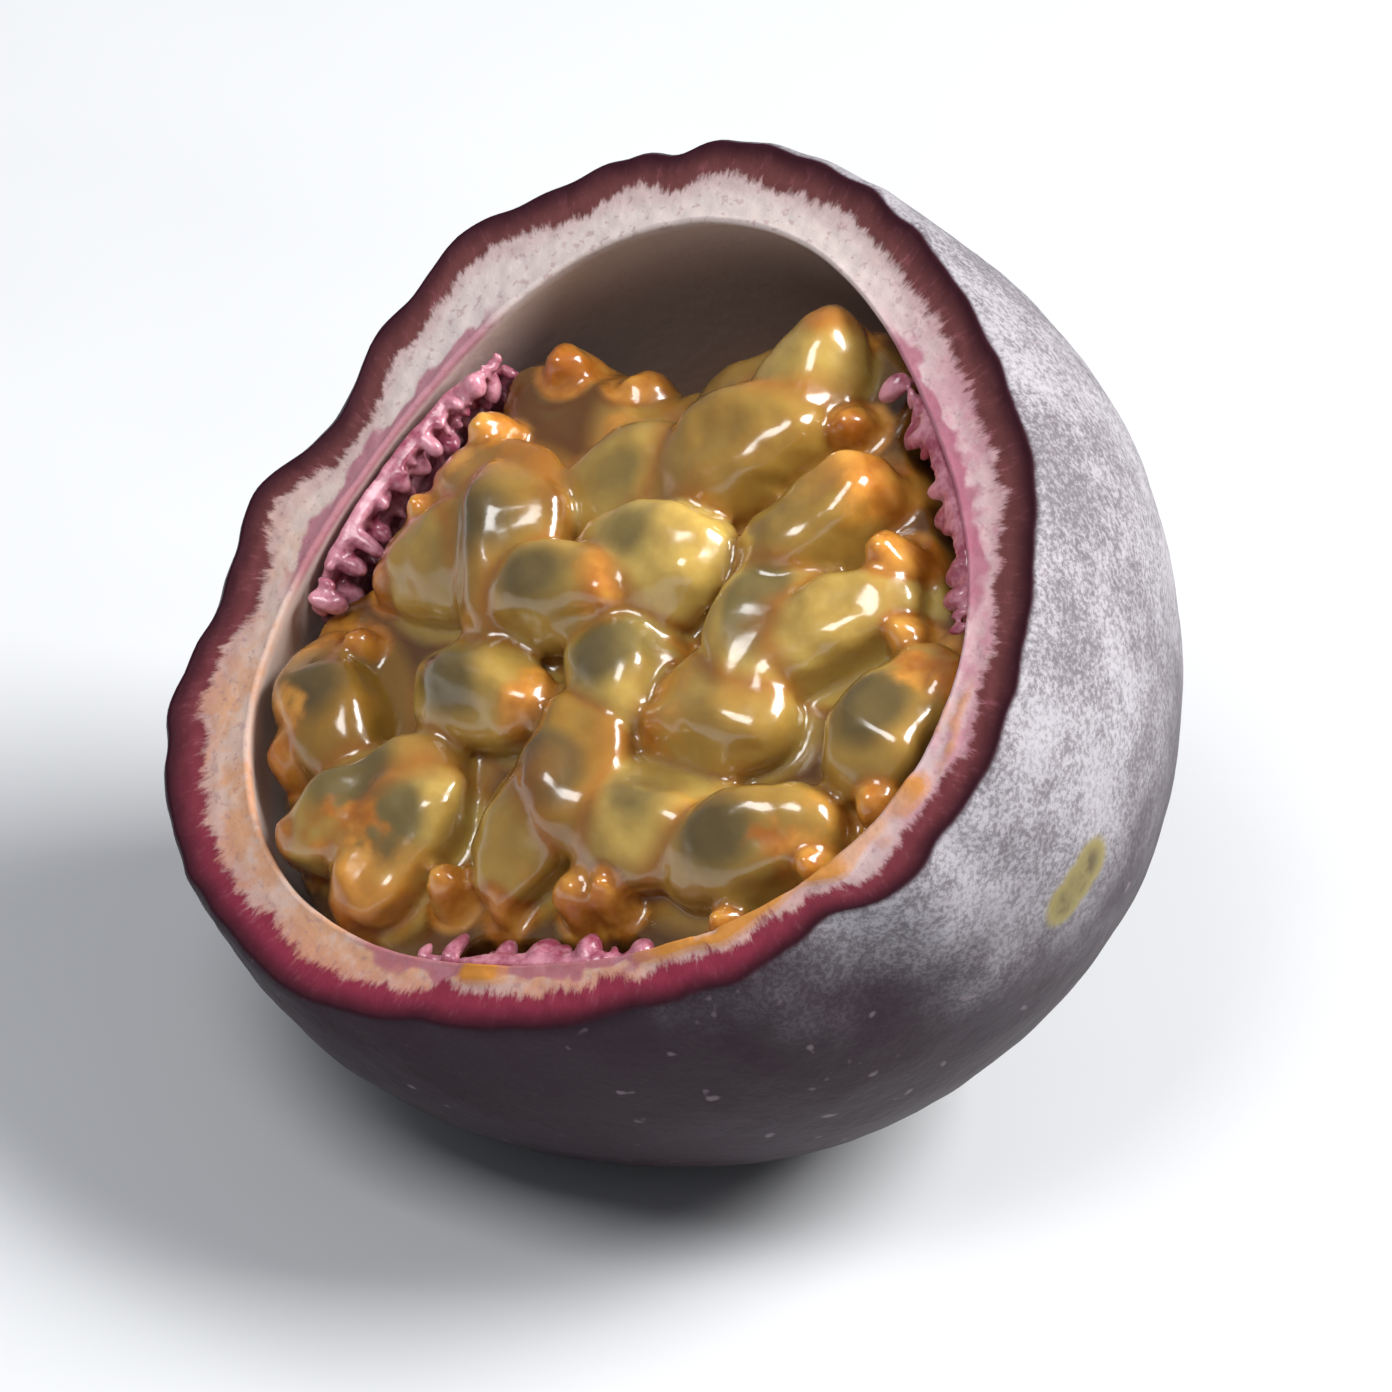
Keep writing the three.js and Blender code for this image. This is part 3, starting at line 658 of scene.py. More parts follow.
# Where sacs have slumped along the wall: the angle, the half-width and the turn, in degrees.
SLUMPED = [(350, 60, 95), (230, 30, -80)]
SLOPE_SACS = dict(count=5, first=92, step=15, radius=10.5, height=-8.5, reach=3.85)
SLOPE_SPREAD = dict(angle=4, height=1, way=(20, 60))
SLOPE_DROP = 4.5
SLOPE_SHIFT = 1.5
SAC_HALF_WIDTH = 3.3
SAC_HALF_THICKNESS = 3
SAC_SHARE = (0.9, 1.1)
SAC_SEED = 11462
ORANGE_ENDS = 24
ORANGE_LENGTH = 6
ORANGE_RADIUS = (1.2, 1.9)
ORANGE_SPREAD = dict(angle=5, height=0.8)
ORANGE_OFF_WALL = 0.8
ORANGE_DRAWN_IN = 0.9
ORANGE_LEAN = 1
ORANGE_SEED = 71


def sac(middle, half, draw):
    return dict(start=middle - half, end=middle + half,
                half_width=SAC_HALF_WIDTH * draw(*SAC_SHARE),
                half_thickness=SAC_HALF_THICKNESS * draw(*SAC_SHARE))


def slumped_turn(angle):
    """How far a sac at the wall is turned from pointing inwards, in degrees."""
    return sum(turn * nearness(angle, at * DEG, half_width * DEG) for at, half_width, turn in SLUMPED)


def raised(point, height):
    return np.array([point[0], point[1], height])


def wall_sacs(draw):
    row, spread = WALL_SACS, WALL_SPREAD
    for i in range(row["count"]):
        angle = (row["first"] + i * 360 / row["count"] + either(draw, spread["angle"])) * DEG
        turn = (slumped_turn(angle) + either(draw, spread["turn"])) * DEG
        size = row["length"] * draw(*spread["length_share"]) / 2
        reach = size * abs(np.cos(turn)) + SAC_HALF_WIDTH * abs(np.sin(turn))
        height = row["height"] + either(draw, spread["height"]) - SLOPE_DROP * crescent(angle)
        inset = pulp_inset(angle) + reach + WALL_DRAWN_IN * crescent_at(angle, height)
        middle = raised(hollow_place(angle, height, inset), height)
        yield sac(middle, polar(angle + np.pi + turn, size, draw(*row["rise"])), draw)


def inner_sac(row, number, draw):
    spread = INNER_SPREAD
    angle = (row["first"] + number * 360 / row["count"] + either(draw, spread["angle"])) * DEG
    drawn_in = SLOPE_SHIFT * crescent(angle)
    radius = row["radius"] + either(draw, spread["radius"]) - drawn_in
    middle = polar(angle, radius, row["height"] - drawn_in + either(draw, spread["height"]))
    way = angle + either(draw, spread["way"]) * DEG
    size = row["length"] / 2 * draw(*spread["length_share"])
    return sac(middle, polar(way, size, either(draw, spread["rise"])), draw)


def inner_sacs(draw):
    return [inner_sac(row, number, draw) for row in INNER_SACS for number in range(row["count"])]


def slope_sacs(draw):
    """Sacs lower down, on the slope that the pulp makes towards the empty crescent."""
    row, spread = SLOPE_SACS, SLOPE_SPREAD
    for i in range(row["count"]):
        angle = (row["first"] + i * row["step"] + either(draw, spread["angle"])) * DEG
        middle = polar(angle, row["radius"], row["height"] + either(draw, spread["height"]))
        way = angle + draw(*spread["way"]) * DEG
        yield sac(middle, polar(way, row["reach"], row["reach"]), draw)


def orange_ends(draw):
    for i in range(ORANGE_ENDS):
        angle = (i * 360 / ORANGE_ENDS + either(draw, ORANGE_SPREAD["angle"])) * DEG
        radius = draw(*ORANGE_RADIUS)
        height = either(draw, ORANGE_SPREAD["height"]) - SLOPE_DROP * crescent(angle)
        drawn_in = ORANGE_DRAWN_IN * crescent_at(angle, min(0, height))
        inset = pulp_inset(angle) + ORANGE_OFF_WALL * radius + drawn_in
        top = raised(hollow_place(angle, height, inset), height)
        root = hollow_place(angle, height - ORANGE_LENGTH, inset + ORANGE_LEAN)
        yield dict(start=root, end=top, half_width=radius, half_thickness=radius)


sac_draw = seeded_draw(SAC_SEED)
sacs = [*wall_sacs(sac_draw), *inner_sacs(sac_draw), *slope_sacs(sac_draw)]
ends = list(orange_ends(seeded_draw(ORANGE_SEED)))
print(len(sacs), "sacs and", len(ends), "orange ends")

# %% [markdown]
# A real sac is a taut, slightly bent bag, flattened where it presses on its neighbours. A simulation
# could press them together, but a rule is quicker and surer: each one is a smooth spindle that is
# bent, flattened a little on a few sides and dented with noise.

# %% One soft bag
SAC_OUTLINE = smooth_outline(
    [(0.03, 0.36), (0.15, 0.7), (0.4, 0.97), (0.7, 1), (0.9, 0.72), (0.98, 0.36)], 34)
BEAD_OUTLINE = smooth_outline([(0.15, 0.7), (0.5, 1), (0.85, 0.7)], 22)
SAC_SIDES = 40
BEAD_SIDES = 24
SAC_BEND = 0.7
SAC_LUMP = 0.6
LUMP_SIZE = 3.4
FINE_LUMP = 0.16
FINE_LUMP_SIZE = 1.2
FLATS = 0.055
END_LUMP = 0.35
END_BEND = 0.3
SHAPE_SEED = 100
SHAPE_SEED_STEP = 17


def bag(body, outline, sides, number, lump, bend):
    """The rings of one soft bag, bent to one side and dented."""
    draw = seeded_draw(SHAPE_SEED + SHAPE_SEED_STEP * number)
    rings = spindle(body["start"], body["end"], body["half_width"], body["half_thickness"], outline, sides)
    along = np.array(outline)[:, 0]
    sideways, _ = sides_of(body["end"] - body["start"])
    bow = bend * draw(-1, 1) * np.sin(np.pi * along)
    rings = rings + bow[:, None, None] * sideways
    middle = rings.mean(axis=1, keepdims=True)
    turn = ring_angles(sides)
    flats = 1 + FLATS * (np.cos(5 * turn + draw(0, 6)) + 0.7 * np.cos(3 * turn + draw(0, 6)))
    rings = middle + (rings - middle) * flats[:, None]
    dents = rough_layers(rings, [(lump, LUMP_SIZE, number % 7), (FINE_LUMP, FINE_LUMP_SIZE, number % 5)])
    outward = (rings - middle) / np.maximum(np.linalg.norm(rings - middle, axis=2, keepdims=True), 0.3)
    return rings + outward * dents.reshape(rings.shape[:2])[..., None]


# %% [markdown]
# Below the sacs that show, the bunch is solid, so one plain body stands for all of it. The
# whole heap is kept off the wall by drawing in every point that would cross it.

# %% The middle and the heap
CORE_TOP = -3
CORE_DOME = 1
CORE_FLOOR = -28
CORE_INSET = 2 * GAP
CORE_DRAWN_BACK = 1.3
CORE_RINGS = 30
CORE_COLUMNS = 180
CORE_SHOULDER = 3
CORE_SHOULDERS = np.linspace(0.5, 5.5, 8)
CORE_RISE = 0.15
BED_ROOM_FADE = 4
WALL_CLEARANCE = 0.35


def core_surface(first):
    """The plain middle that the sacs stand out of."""
    heights = between((CORE_TOP, CORE_FLOOR), np.linspace(0.98, 0.05, CORE_RINGS))
    turn = ring_angles(CORE_COLUMNS)
    rings = [hollow_place(turn, height, CORE_INSET + crescent_at(turn, height)) for height in heights]
    for share in CORE_SHOULDERS:
        inset = share * CORE_SHOULDER + CORE_DRAWN_BACK * crescent_at(turn, CORE_TOP)
        ring = hollow_place(turn, CORE_TOP, inset)
        ring[:, 2] = CORE_TOP + CORE_RISE * share
        rings.append(ring)
    middle = raised(HOLLOW_OFFSET, CORE_TOP + CORE_DOME)
    return stack_of_rings(np.array(rings), hollow_points(0, np.pi / 2, CORE_INSET), middle, first)


def heap_of_bags():
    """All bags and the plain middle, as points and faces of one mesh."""
    points, faces, first = [], [], 0
    bodies = [(body, SAC_OUTLINE, SAC_SIDES, SAC_LUMP, SAC_BEND) for body in sacs]
    bodies += [(body, BEAD_OUTLINE, BEAD_SIDES, END_LUMP, END_BEND) for body in ends]
    for number, (body, outline, sides, lump, bend) in enumerate(bodies):
        rings = bag(body, outline, sides, number, lump, bend)
        part, quads, triangles = stack_of_rings(rings, body["start"], body["end"], first)
        points.append(part)
        faces.extend([*quads, *triangles])
        first += len(part)
    part, quads, triangles = core_surface(first)
    return np.concatenate([*points, part]), [*faces, *quads, *triangles]


def kept_inside(points):
    """The points, drawn in where they would cross the wall or a seed bed."""
    about = points - HOLLOW_OFFSET
    angle = np.arctan2(about[:, 1], about[:, 0])
    radius = np.linalg.norm(about[:, :2], axis=1)
    over_bed = sum(ramp(nearness(angle, middle * DEG, (half_width + BED_MARGIN) * DEG), 0, 0.4)
                   for middle, half_width, _, _ in SEED_BEDS.values())
    over_bed = over_bed * ramp(points[:, 2], BED_BOTTOM, BED_BOTTOM + BED_ROOM_FADE)
    inset = WALL_CLEARANCE + (BED_ROOM - WALL_CLEARANCE) * over_bed
    latitude = hollow_latitude(points[:, 2])
    limit = HOLLOW_RADIUS * lobe_factor(angle, np.minimum(0, points[:, 2])) * np.cos(latitude)
    limit = np.maximum(limit - inset / np.maximum(np.cos(latitude), 0.25), 0.1)
    factor = np.where(radius > limit, limit / np.maximum(radius, 0.1), 1)
    return HOLLOW_OFFSET + about * np.stack([factor, factor, np.ones_like(factor)], axis=-1)


# %% [markdown]
# On the real fruit the seed shows through its bag, and orange flesh sits at the bag's root and is
# smeared over its neighbours. A colour for each bag would end in hard borders, so each vertex looks
# up its nearest bags instead, and keeps their numbers blended softly.

# %% The numbers on the pulp
SEED_PLACE = (0.5, 0.62)
SEED_OFF_MIDDLE = 0.15
SEED_HALF_SHARE = 0.28
SEED_SOFTNESS = 1.3
SEED_STRENGTH = (0.15, 1)
ORANGE_STRENGTH = (0.15, 1)
ORANGE_REACH = (0.14, 0.42)
COLOR_SEED = 900
COLOR_SEED_STEP = 31
BAG_MIDDLE = 1.05
BLEND_SHARPNESS = 14
CREASE_WIDTH = 0.22
GAP_DISTANCES = (1.12, 1.37)
GAP_WASH = 0.6
# Each patch's angle in degrees, and its radius and reach in millimetres.
FLESH_PATCHES = [(256, 18, 4.5), (280, 19, 4), (22, 20, 4), (44, 17, 3.5), (166, 15, 3.5),
                 (187, 18, 3), (138, 12, 3), (151, 15.5, 3.5), (4, 6, 2.5),
                 (207, 19, 3.5), (228, 19.5, 3), (342, 19, 3)]
FLESH_HEIGHT = -1
FLESH_STRENGTH = 0.9
FLESH_RAGS = [(1.2, 2.0, 11), (0.8, 0.8, 12)]


def numbers_of_bag(body, number, is_end, points):
    """For each point: how far it is from a bag's middle, and the bag's seed, orange and tone there."""
    draw = seeded_draw(COLOR_SEED + COLOR_SEED_STEP * number)
    axis = body["end"] - body["start"]
    across, over = sides_of(axis)
    away = points - body["start"]
    along = away @ axis / (axis @ axis)
    side = away @ across / body["half_width"]
    rise = away @ over / body["half_thickness"]
    distance = np.sqrt((2 * along - BAG_MIDDLE) ** 2 + side ** 2 + rise ** 2)
    lengthwise = (along - draw(*SEED_PLACE)) / SEED_HALF_SHARE
    sideways = SEED_SOFTNESS * (side - either(draw, SEED_OFF_MIDDLE))
    shadow = ramp(SEED_SOFTNESS - np.hypot(lengthwise, sideways), 0, 1)
    shadow = shadow * (0 if is_end else draw(*SEED_STRENGTH))
    strength = draw(*ORANGE_STRENGTH)
    orange = np.ones_like(along) if is_end else strength * ramp(1.5 - along / draw(*ORANGE_REACH), 0, 1)
    return distance, shadow, orange, np.full_like(along, draw())


def flesh_patches(points):
    """Orange flesh that was smeared over the heap, in ragged patches."""
    patches = np.zeros(len(points))
    for angle, radius, reach in FLESH_PATCHES:
        away = np.linalg.norm(points - polar(angle * DEG, radius, FLESH_HEIGHT), axis=1)
        patches = np.maximum(patches, ramp(1 - away / reach, 0, 0.625))
    return ramp(patches * (1 + rough_layers(points, FLESH_RAGS)), 0, 1)


def numbers_of_pulp(points):
    """The numbers that the material reads, blended softly from one bag to the next."""
    bags = [(body, False) for body in sacs] + [(body, True) for body in ends]
    found = np.array([numbers_of_bag(body, number, is_end, points)
                      for number, (body, is_end) in enumerate(bags)])
    distance = found[:, 0]
    nearest, second = np.partition(distance, 1, axis=0)[:2]
    weight = np.exp(-BLEND_SHARPNESS * (distance - nearest))
    seed, orange, tone = ((weight * values).sum(axis=0) / weight.sum(axis=0)
                          for values in found.transpose(1, 0, 2)[1:])
    crease = (1 - ramp(second - nearest, 0, CREASE_WIDTH)) * ramp(nearest, 0.5, 1)
    gap = ramp(nearest, *GAP_DISTANCES)
    # Orange is washed out of the gaps, so that the painted shade shows there.
    orange = np.maximum(orange * (1 - GAP_WASH * gap), FLESH_STRENGTH * flesh_patches(points))
    return {"seed": seed * (1 - gap), "orange": orange, "tone": tone,
            "crease": crease, "gap": gap, "depth": -points[:, 2]}


# %% [markdown]
# Juice rounds off every crease between the bags. A remesh does the same: it joins them all into one
# skin, which is smoothed once, and only then do the vertices look up their numbers.

# %% Make the pulp
PULP_VOXEL = 0.29 * MM
PULP_SMOOTHING = 1


def make_pulp():
    points, faces = heap_of_bags()
    piece = make_piece("pulp_sacs", kept_inside(points), faces)
    remeshed(piece, PULP_VOXEL, PULP_SMOOTHING)
    places = np.empty(3 * len(piece.data.vertices), dtype=np.float32)
    piece.data.vertices.foreach_get("co", places)
    points = to_cut(places.reshape(-1, 3))
    for key, values in numbers_of_pulp(points).items():
        piece.data.attributes.new(key, "FLOAT", "POINT").data.foreach_set("value", values)
    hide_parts("pulp")
    return piece


pulp = make_pulp()
print("pulp", len(pulp.data.polygons), "faces")

# %% [markdown]
# The materials are built with a few small helpers, so that each one reads as a recipe: take a
# number from the surface or a noise, turn it into a mask, and lay one colour over another with it.

# %% Material helpers
def linear(red, green, blue):
    """A colour seen on a screen, 0 to 255, as the linear light that the shader needs."""
    value = np.array([red, green, blue]) / 255
    light = np.where(value <= 0.04045, value / 12.92, ((value + 0.055) / 1.055) ** 2.4)
    return (*light.tolist(), 1)


class Recipe:
    """A material's node tree, with short ways to add the usual nodes."""

    def __init__(self, name, tree=None):
        self.material = None
        if tree is None:
            self.material = bpy.data.materials.new(name)
            self.material.use_nodes = True
            tree = self.material.node_tree
        self.tree = tree

    def node(self, kind, **settings):
        new = self.tree.nodes.new(kind)
        for key, value in settings.items():
            setattr(new, key, value)
        return new

    def put(self, value, socket):
        """Joins an output to a socket, or sets the socket to a plain value."""
        if isinstance(value, bpy.types.NodeSocket):
            self.tree.links.new(value, socket)
        elif value is not None:
            socket.default_value = value

    def kept(self, name):
        """A number kept on the vertices."""
        return self.node("ShaderNodeAttribute", attribute_name=name)

    def place(self):
        """The place on the object, in metres."""
        return self.node("ShaderNodeTexCoord").outputs["Object"]

    def noise(self, vector, scale, detail=3.0, rough=0.55):
        new = self.node("ShaderNodeTexNoise")
        self.put(vector, new.inputs["Vector"])
        self.put(scale, new.inputs["Scale"])
        self.put(detail, new.inputs["Detail"])
        self.put(rough, new.inputs["Roughness"])
        return new.outputs["Fac"]

    def math(self, operation, first, second=None):
        new = self.node("ShaderNodeMath", operation=operation)
        self.put(first, new.inputs[0])
        self.put(second, new.inputs[1])
        return new.outputs[0]

    def mask(self, value, low, high, to_low=0.0, to_high=1.0):
        """A smooth step from one value to another."""
        new = self.node("ShaderNodeMapRange", interpolation_type="SMOOTHSTEP")
        self.put(value, new.inputs["Value"])
        for name, number in (("From Min", low), ("From Max", high), ("To Min", to_low), ("To Max", to_high)):
            self.put(number, new.inputs[name])
        return new.outputs["Result"]

    def mix(self, share, under, over):
        new = self.node("ShaderNodeMix", data_type="RGBA")
        for index, value in ((0, share), (6, under), (7, over)):
            self.put(value, new.inputs[index])
        return new.outputs[2]

    def bump(self, height, strength, distance, normal=None):
        new = self.node("ShaderNodeBump")
        self.put(height, new.inputs["Height"])
        self.put(strength, new.inputs["Strength"])
        self.put(distance, new.inputs["Distance"])
        self.put(normal, new.inputs["Normal"])
        return new.outputs["Normal"]

    def surface(self, **values):
        """Sets the inputs of the surface shader, by name with _ for a space."""
        shader = self.tree.nodes["Principled BSDF"]
        for key, value in values.items():
            self.put(value, shader.inputs[key.replace("_", " ")])
        return self.material


def dress(piece, material):
    piece.data.materials.clear()
    piece.data.materials.append(material)


# %% [markdown]
# Two effects are shared. Mottle gives soft blotches with fine grain in them, as living tissue has.
# Wet bump gives the tiny unevenness of a wet skin, so that its highlights break up.

# %% Shared effects
def effect(name, inputs, outputs):
    """An empty effect with named inputs, as (name, value), and named outputs, as (name, kind)."""
    group = bpy.data.node_groups.new(name, "ShaderNodeTree")
    for key, value in inputs:
        group.interface.new_socket(key, in_out="INPUT", socket_type="NodeSocketFloat").default_value = value
    for key, kind in outputs:
        group.interface.new_socket(key, in_out="OUTPUT", socket_type=kind)
    recipe = Recipe(name, group)
    return recipe, recipe.node("NodeGroupInput"), recipe.node("NodeGroupOutput")


mottle, given, result = effect("Mottle", [("Blotch Scale", 200), ("Grain Scale", 1500)],
                               [("Mask", "NodeSocketFloat")])
blotches = mottle.noise(mottle.place(), given.outputs["Blotch Scale"], 4.0)
grain = mottle.noise(mottle.place(), given.outputs["Grain Scale"], 2.0)
both = mottle.math("ADD", mottle.math("MULTIPLY", blotches, 0.7), mottle.math("MULTIPLY", grain, 0.3))
mottle.put(mottle.mask(both, 0.36, 0.64), result.inputs["Mask"])

wet, given, result = effect("Wet Bump", [("Scale", 600), ("Strength", 0.2), ("Distance", 0.0002)],
                            [("Normal", "NodeSocketVector")])
ripples = wet.noise(wet.place(), given.outputs["Scale"], 2.0)
wet.put(wet.bump(ripples, given.outputs["Strength"], given.outputs["Distance"]), result.inputs["Normal"])


def use(recipe, effect_recipe, **inputs):
    """Adds an effect to a material, its inputs set by name with _ for a space."""
    new = recipe.node("ShaderNodeGroup", node_tree=effect_recipe.tree)
    for key, value in inputs.items():
        recipe.put(value, new.inputs[key.replace("_", " ")])
    return new.outputs[0]


# %% [markdown]
# The skin of this fruit is dark plum under a pale waxy bloom. The bloom lies in soft blotches with
# fine dust in them. It is laid thick on the upper right, where it also paints the sheen of the
# light, and thin on the lower left, which leaves painted shade there. Small pale pores
# and one olive blemish break up the plum. Each of them is a noise or a distance turned into a mask.

# %% The skin's colours
PLUM = linear(39, 23, 33)
BLOOM_AND_SHEEN = linear(192, 188, 194)
PORE = linear(150, 136, 142)
SCAR_BROWN = linear(86, 66, 48)
BLEMISH = linear(132, 120, 74)
BLEMISH_DARK = linear(82, 70, 48)
BLEMISH_ANGLES = (2.0, 4.4, 6.8)
BLEMISH_LATITUDE = 7


def place_mask(recipe, centre, near, far):
    """1 near a place in the frame of the cut, 0 far from it, in millimetres."""
    distance = recipe.node("ShaderNodeVectorMath", operation="DISTANCE")
    recipe.put(recipe.place(), distance.inputs[0])
    recipe.put(tuple(to_world(centre)), distance.inputs[1])
    return recipe.mask(distance.outputs["Value"], near * MM, far * MM, 1.0, 0.0)


def blemish_mask(make, near, far):
    """1 on the oval blemish, which three rounds side by side make."""
    first, second, third = (place_mask(make, skin_points(angle * DEG, BLEMISH_LATITUDE * DEG), near, far)
                            for angle in BLEMISH_ANGLES)
    return make.math("MAXIMUM", make.math("MAXIMUM", first, second), third)


def bloom_and_sheen_side(make):
    """1 on the upper right side, bloom with a painted sheen, and 0 on the lower left, painted shade."""
    axes = make.node("ShaderNodeSeparateXYZ")
    make.put(make.place(), axes.inputs[0])
    uphill = make.math("ADD", axes.outputs["Z"], make.math("MULTIPLY", axes.outputs["X"], 0.6))
    patchy = make.math("MULTIPLY", make.noise(make.place(), 130, 3.0), 20 * MM)
    return make.mask(make.math("ADD", uphill, patchy), 38 * MM, 62 * MM)


def skin_color(make):
    """Plum skin under bloom in blotches and fine dust, with painted sheen and shade, pale pores and one
    olive blemish.
    """
    blotches = use(make, mottle, Blotch_Scale=110, Grain_Scale=700)
    dust = make.mask(make.noise(make.place(), 3400, 3.0, 0.7), 0.35, 0.65)
    thick = make.mask(make.math("ADD", blotches, dust), 0.1, 1.8, 0.35, 1.0)
    # Thick bloom on the upper right is also a painted sheen, and thin bloom on the lower left is painted
    # shade.
    bloom_and_sheen = make.math("MULTIPLY", make.mask(bloom_and_sheen_side(make), 0.0, 1.0, 0.01, 0.72), thick)
    skin = make.mix(bloom_and_sheen, PLUM, BLOOM_AND_SHEEN)
    pores = make.mask(make.noise(make.place(), 900, 1.0), 0.69, 0.8, 0.0, 0.38)
    skin = make.mix(pores, skin, PORE)
    skin = make.mix(blemish_mask(make, 1.1, 1.8), skin, BLEMISH)
    streaks = make.mask(make.noise(make.place(), 700, 3.0), 0.4, 0.6, 0.35, 0.9)
    skin = make.mix(make.math("MULTIPLY", blemish_mask(make, 0.2, 1.3), streaks), skin, BLEMISH_DARK)
    return make.mix(make.kept("scar").outputs["Fac"], skin, SCAR_BROWN)


# %% [markdown]
# The knife shows two tissues. The skin's own edge is a band, nearly black outside and burgundy
# inside, which turns brown at the top of the fruit where it has dried. The pith is whitish, pinker
# on one side, and juice has stained it peach along the lower edge.

# %% The colours of the cut
SKIN_BAND = 2.2
BAND_OUTSIDE = linear(50, 16, 28)
BAND_BROWN = linear(104, 58, 58)
BAND_RED = linear(132, 44, 64)
BRISTLE = linear(158, 92, 104)
PITH_WHITE = linear(206, 192, 188)
PITH_PINK = linear(188, 136, 148)
PITH_PEACH = linear(206, 152, 116)
PITH_MAGENTA = linear(158, 84, 108)
PITH_SPECK = linear(160, 124, 128)
JUICE = linear(200, 132, 44)


def band_color(make, inset, bristles):
    """The cut skin: nearly black at its outside, redder inside, brown at the top of the fruit."""
    low_edge = place_mask(make, polar(290 * DEG, RIM_RADIUS, 0), 14, 38)
    inside = make.mix(low_edge, BAND_BROWN, BAND_RED)
    inside = make.mix(make.mask(bristles, 0.5, 0.8, 0.0, 0.7), inside, BRISTLE)
    return make.mix(make.mask(inset, 0.2, 1.9), BAND_OUTSIDE, inside)


def pith_color(make, inset, bristles):
    """Whitish at the top, pinker on the right, peach below, with specks and a pink inner rim."""
    blotches = use(make, mottle, Blotch_Scale=300, Grain_Scale=1500)
    pink = place_mask(make, polar(30 * DEG, RIM_RADIUS, 0), 8, 26)
    patchy = make.mask(blotches, 0.0, 1.0, 0.4, 0.95)
    pith = make.mix(make.math("MULTIPLY", pink, patchy), PITH_WHITE, PITH_PINK)
    peach = place_mask(make, polar(268 * DEG, 22, 0), 14, 34)
    pith = make.mix(make.math("MULTIPLY", peach, patchy), pith, PITH_PEACH)
    near_band = make.mask(inset, SKIN_BAND + 0.2, SKIN_BAND + 1.5, 0.55, 0.0)
    pith = make.mix(make.math("MULTIPLY", near_band, bristles), pith, BRISTLE)
    specks = make.mask(make.noise(make.place(), 2100, 2.0), 0.58, 0.68, 0.0, 0.45)
    pith = make.mix(specks, pith, PITH_SPECK)
    tinted = make.mask(make.kept("tint").outputs["Fac"], 0.1, 0.8, 0.0, 0.75)
    pith = make.mix(tinted, pith, PITH_MAGENTA)
    juice = make.kept("juice").outputs["Fac"]
    thin = make.mask(juice, 0.05, 0.5, 0.0, 0.5)
    thick = make.mask(juice, 0.35, 0.9, 0.0, 0.9)
    return make.mix(make.math("MAXIMUM", thin, thick), pith, JUICE)


# %% [markdown]
# One material dresses the whole rind, because it is one piece: how far in from the skin a vertex
# lies chooses between skin, band, pith and the wall, which has painted shade that darkens with its
# depth. The band frays into the pith in short bristles, so its border is moved by a noise that is
# drawn out inwards.

# %% The rind's material
BRISTLE_REACH = 2.0
HOLLOW_WALL = linear(214, 196, 188)
HOLLOW_SHADE = linear(152, 116, 96)


def rind_material():
    make = Recipe("Passion fruit rind")
    inset = make.kept("inset").outputs["Fac"]
    depth = make.kept("depth").outputs["Fac"]
    grain = make.kept("grain").outputs["Vector"]
    bristles = make.noise(grain, 2.2, 4.0, 0.75)
    waves = make.noise(grain, 0.4, 2.0)
    ragged = inset
    for shift in (bristles, waves):
        centred = make.math("SUBTRACT", shift, 0.5)
        ragged = make.math("ADD", ragged, make.math("MULTIPLY", centred, BRISTLE_REACH))
    in_pith = make.mask(ragged, SKIN_BAND - 0.3, SKIN_BAND + 0.35)
    on_cut = make.mask(inset, 0.03, 0.25)
    in_hollow = make.math("MULTIPLY", make.mask(depth, 0.25, 1.2), make.mask(inset, 3.0, 3.4))
    # Painted shade: the wall darkens with its depth into the hollow.
    wall = make.mix(make.mask(depth, 1.5, 18.0), HOLLOW_WALL, HOLLOW_SHADE)
    cut = make.mix(in_pith, band_color(make, inset, bristles), pith_color(make, inset, bristles))
    color = make.mix(on_cut, skin_color(make), make.mix(in_hollow, cut, wall))
    roughness = make.mask(on_cut, 0.0, 1.0, 0.46, 0.55)
    return make.surface(
        Base_Color=color, Roughness=roughness,
        Normal=make.bump(make.noise(make.place(), 1400, 3.0), 0.35, 0.15 * MM),
        Specular_IOR_Level=0.14)


dress(rind, rind_material())

# %% [markdown]
# The seed beds are wet, magenta-pink and a little translucent, with paler blotches. Two mottled
# colours are enough, because their crumbly shape does the rest.

# %% The seed beds' material
BED_DARK = linear(150, 62, 88)
BED_PALE = linear(214, 150, 166)


def bed_material():
    make = Recipe("Seed bed")
    mask = use(make, mottle, Blotch_Scale=520, Grain_Scale=2400)
    return make.surface(
        Base_Color=make.mix(mask, BED_DARK, BED_PALE), Roughness=0.35,
        Normal=use(make, wet, Scale=1500, Strength=0.3),
        Subsurface_Weight=0.25, Subsurface_Radius=(1.0, 0.4, 0.4), Subsurface_Scale=0.8 * MM,
        Coat_Weight=0.6, Coat_Roughness=0.15)


seed_bed_material = bed_material()
for piece in beds:
    dress(piece, seed_bed_material)

# %% [markdown]
# The sacs are olive yellow and translucent, with the seed as a soft grey-green shadow inside, and
# they turn opaque orange at the end that hangs on the wall. Brown juice with painted shade darkens
# the creases, and painted shade darkens the gaps between the sacs and the deep places. Light
# scatters under their skin, and a clear coat stands for the wet.

# %% The pulp's material
JELLY_DARK = linear(148, 110, 38)
JELLY_PALE = linear(206, 176, 94)
JELLY_BROWN = linear(136, 88, 24)
SEED_SHADOW = linear(56, 56, 40)
ORANGE_DARK = linear(172, 100, 24)
ORANGE_PALE = linear(214, 154, 66)
CREASE_JUICE_AND_SHADE = linear(160, 94, 20)
GAP_SHADE = linear(84, 48, 14)
DEEP_SHADE = linear(44, 26, 12)
PULP_NUMBERS = ("tone", "seed", "orange", "depth", "crease", "gap")


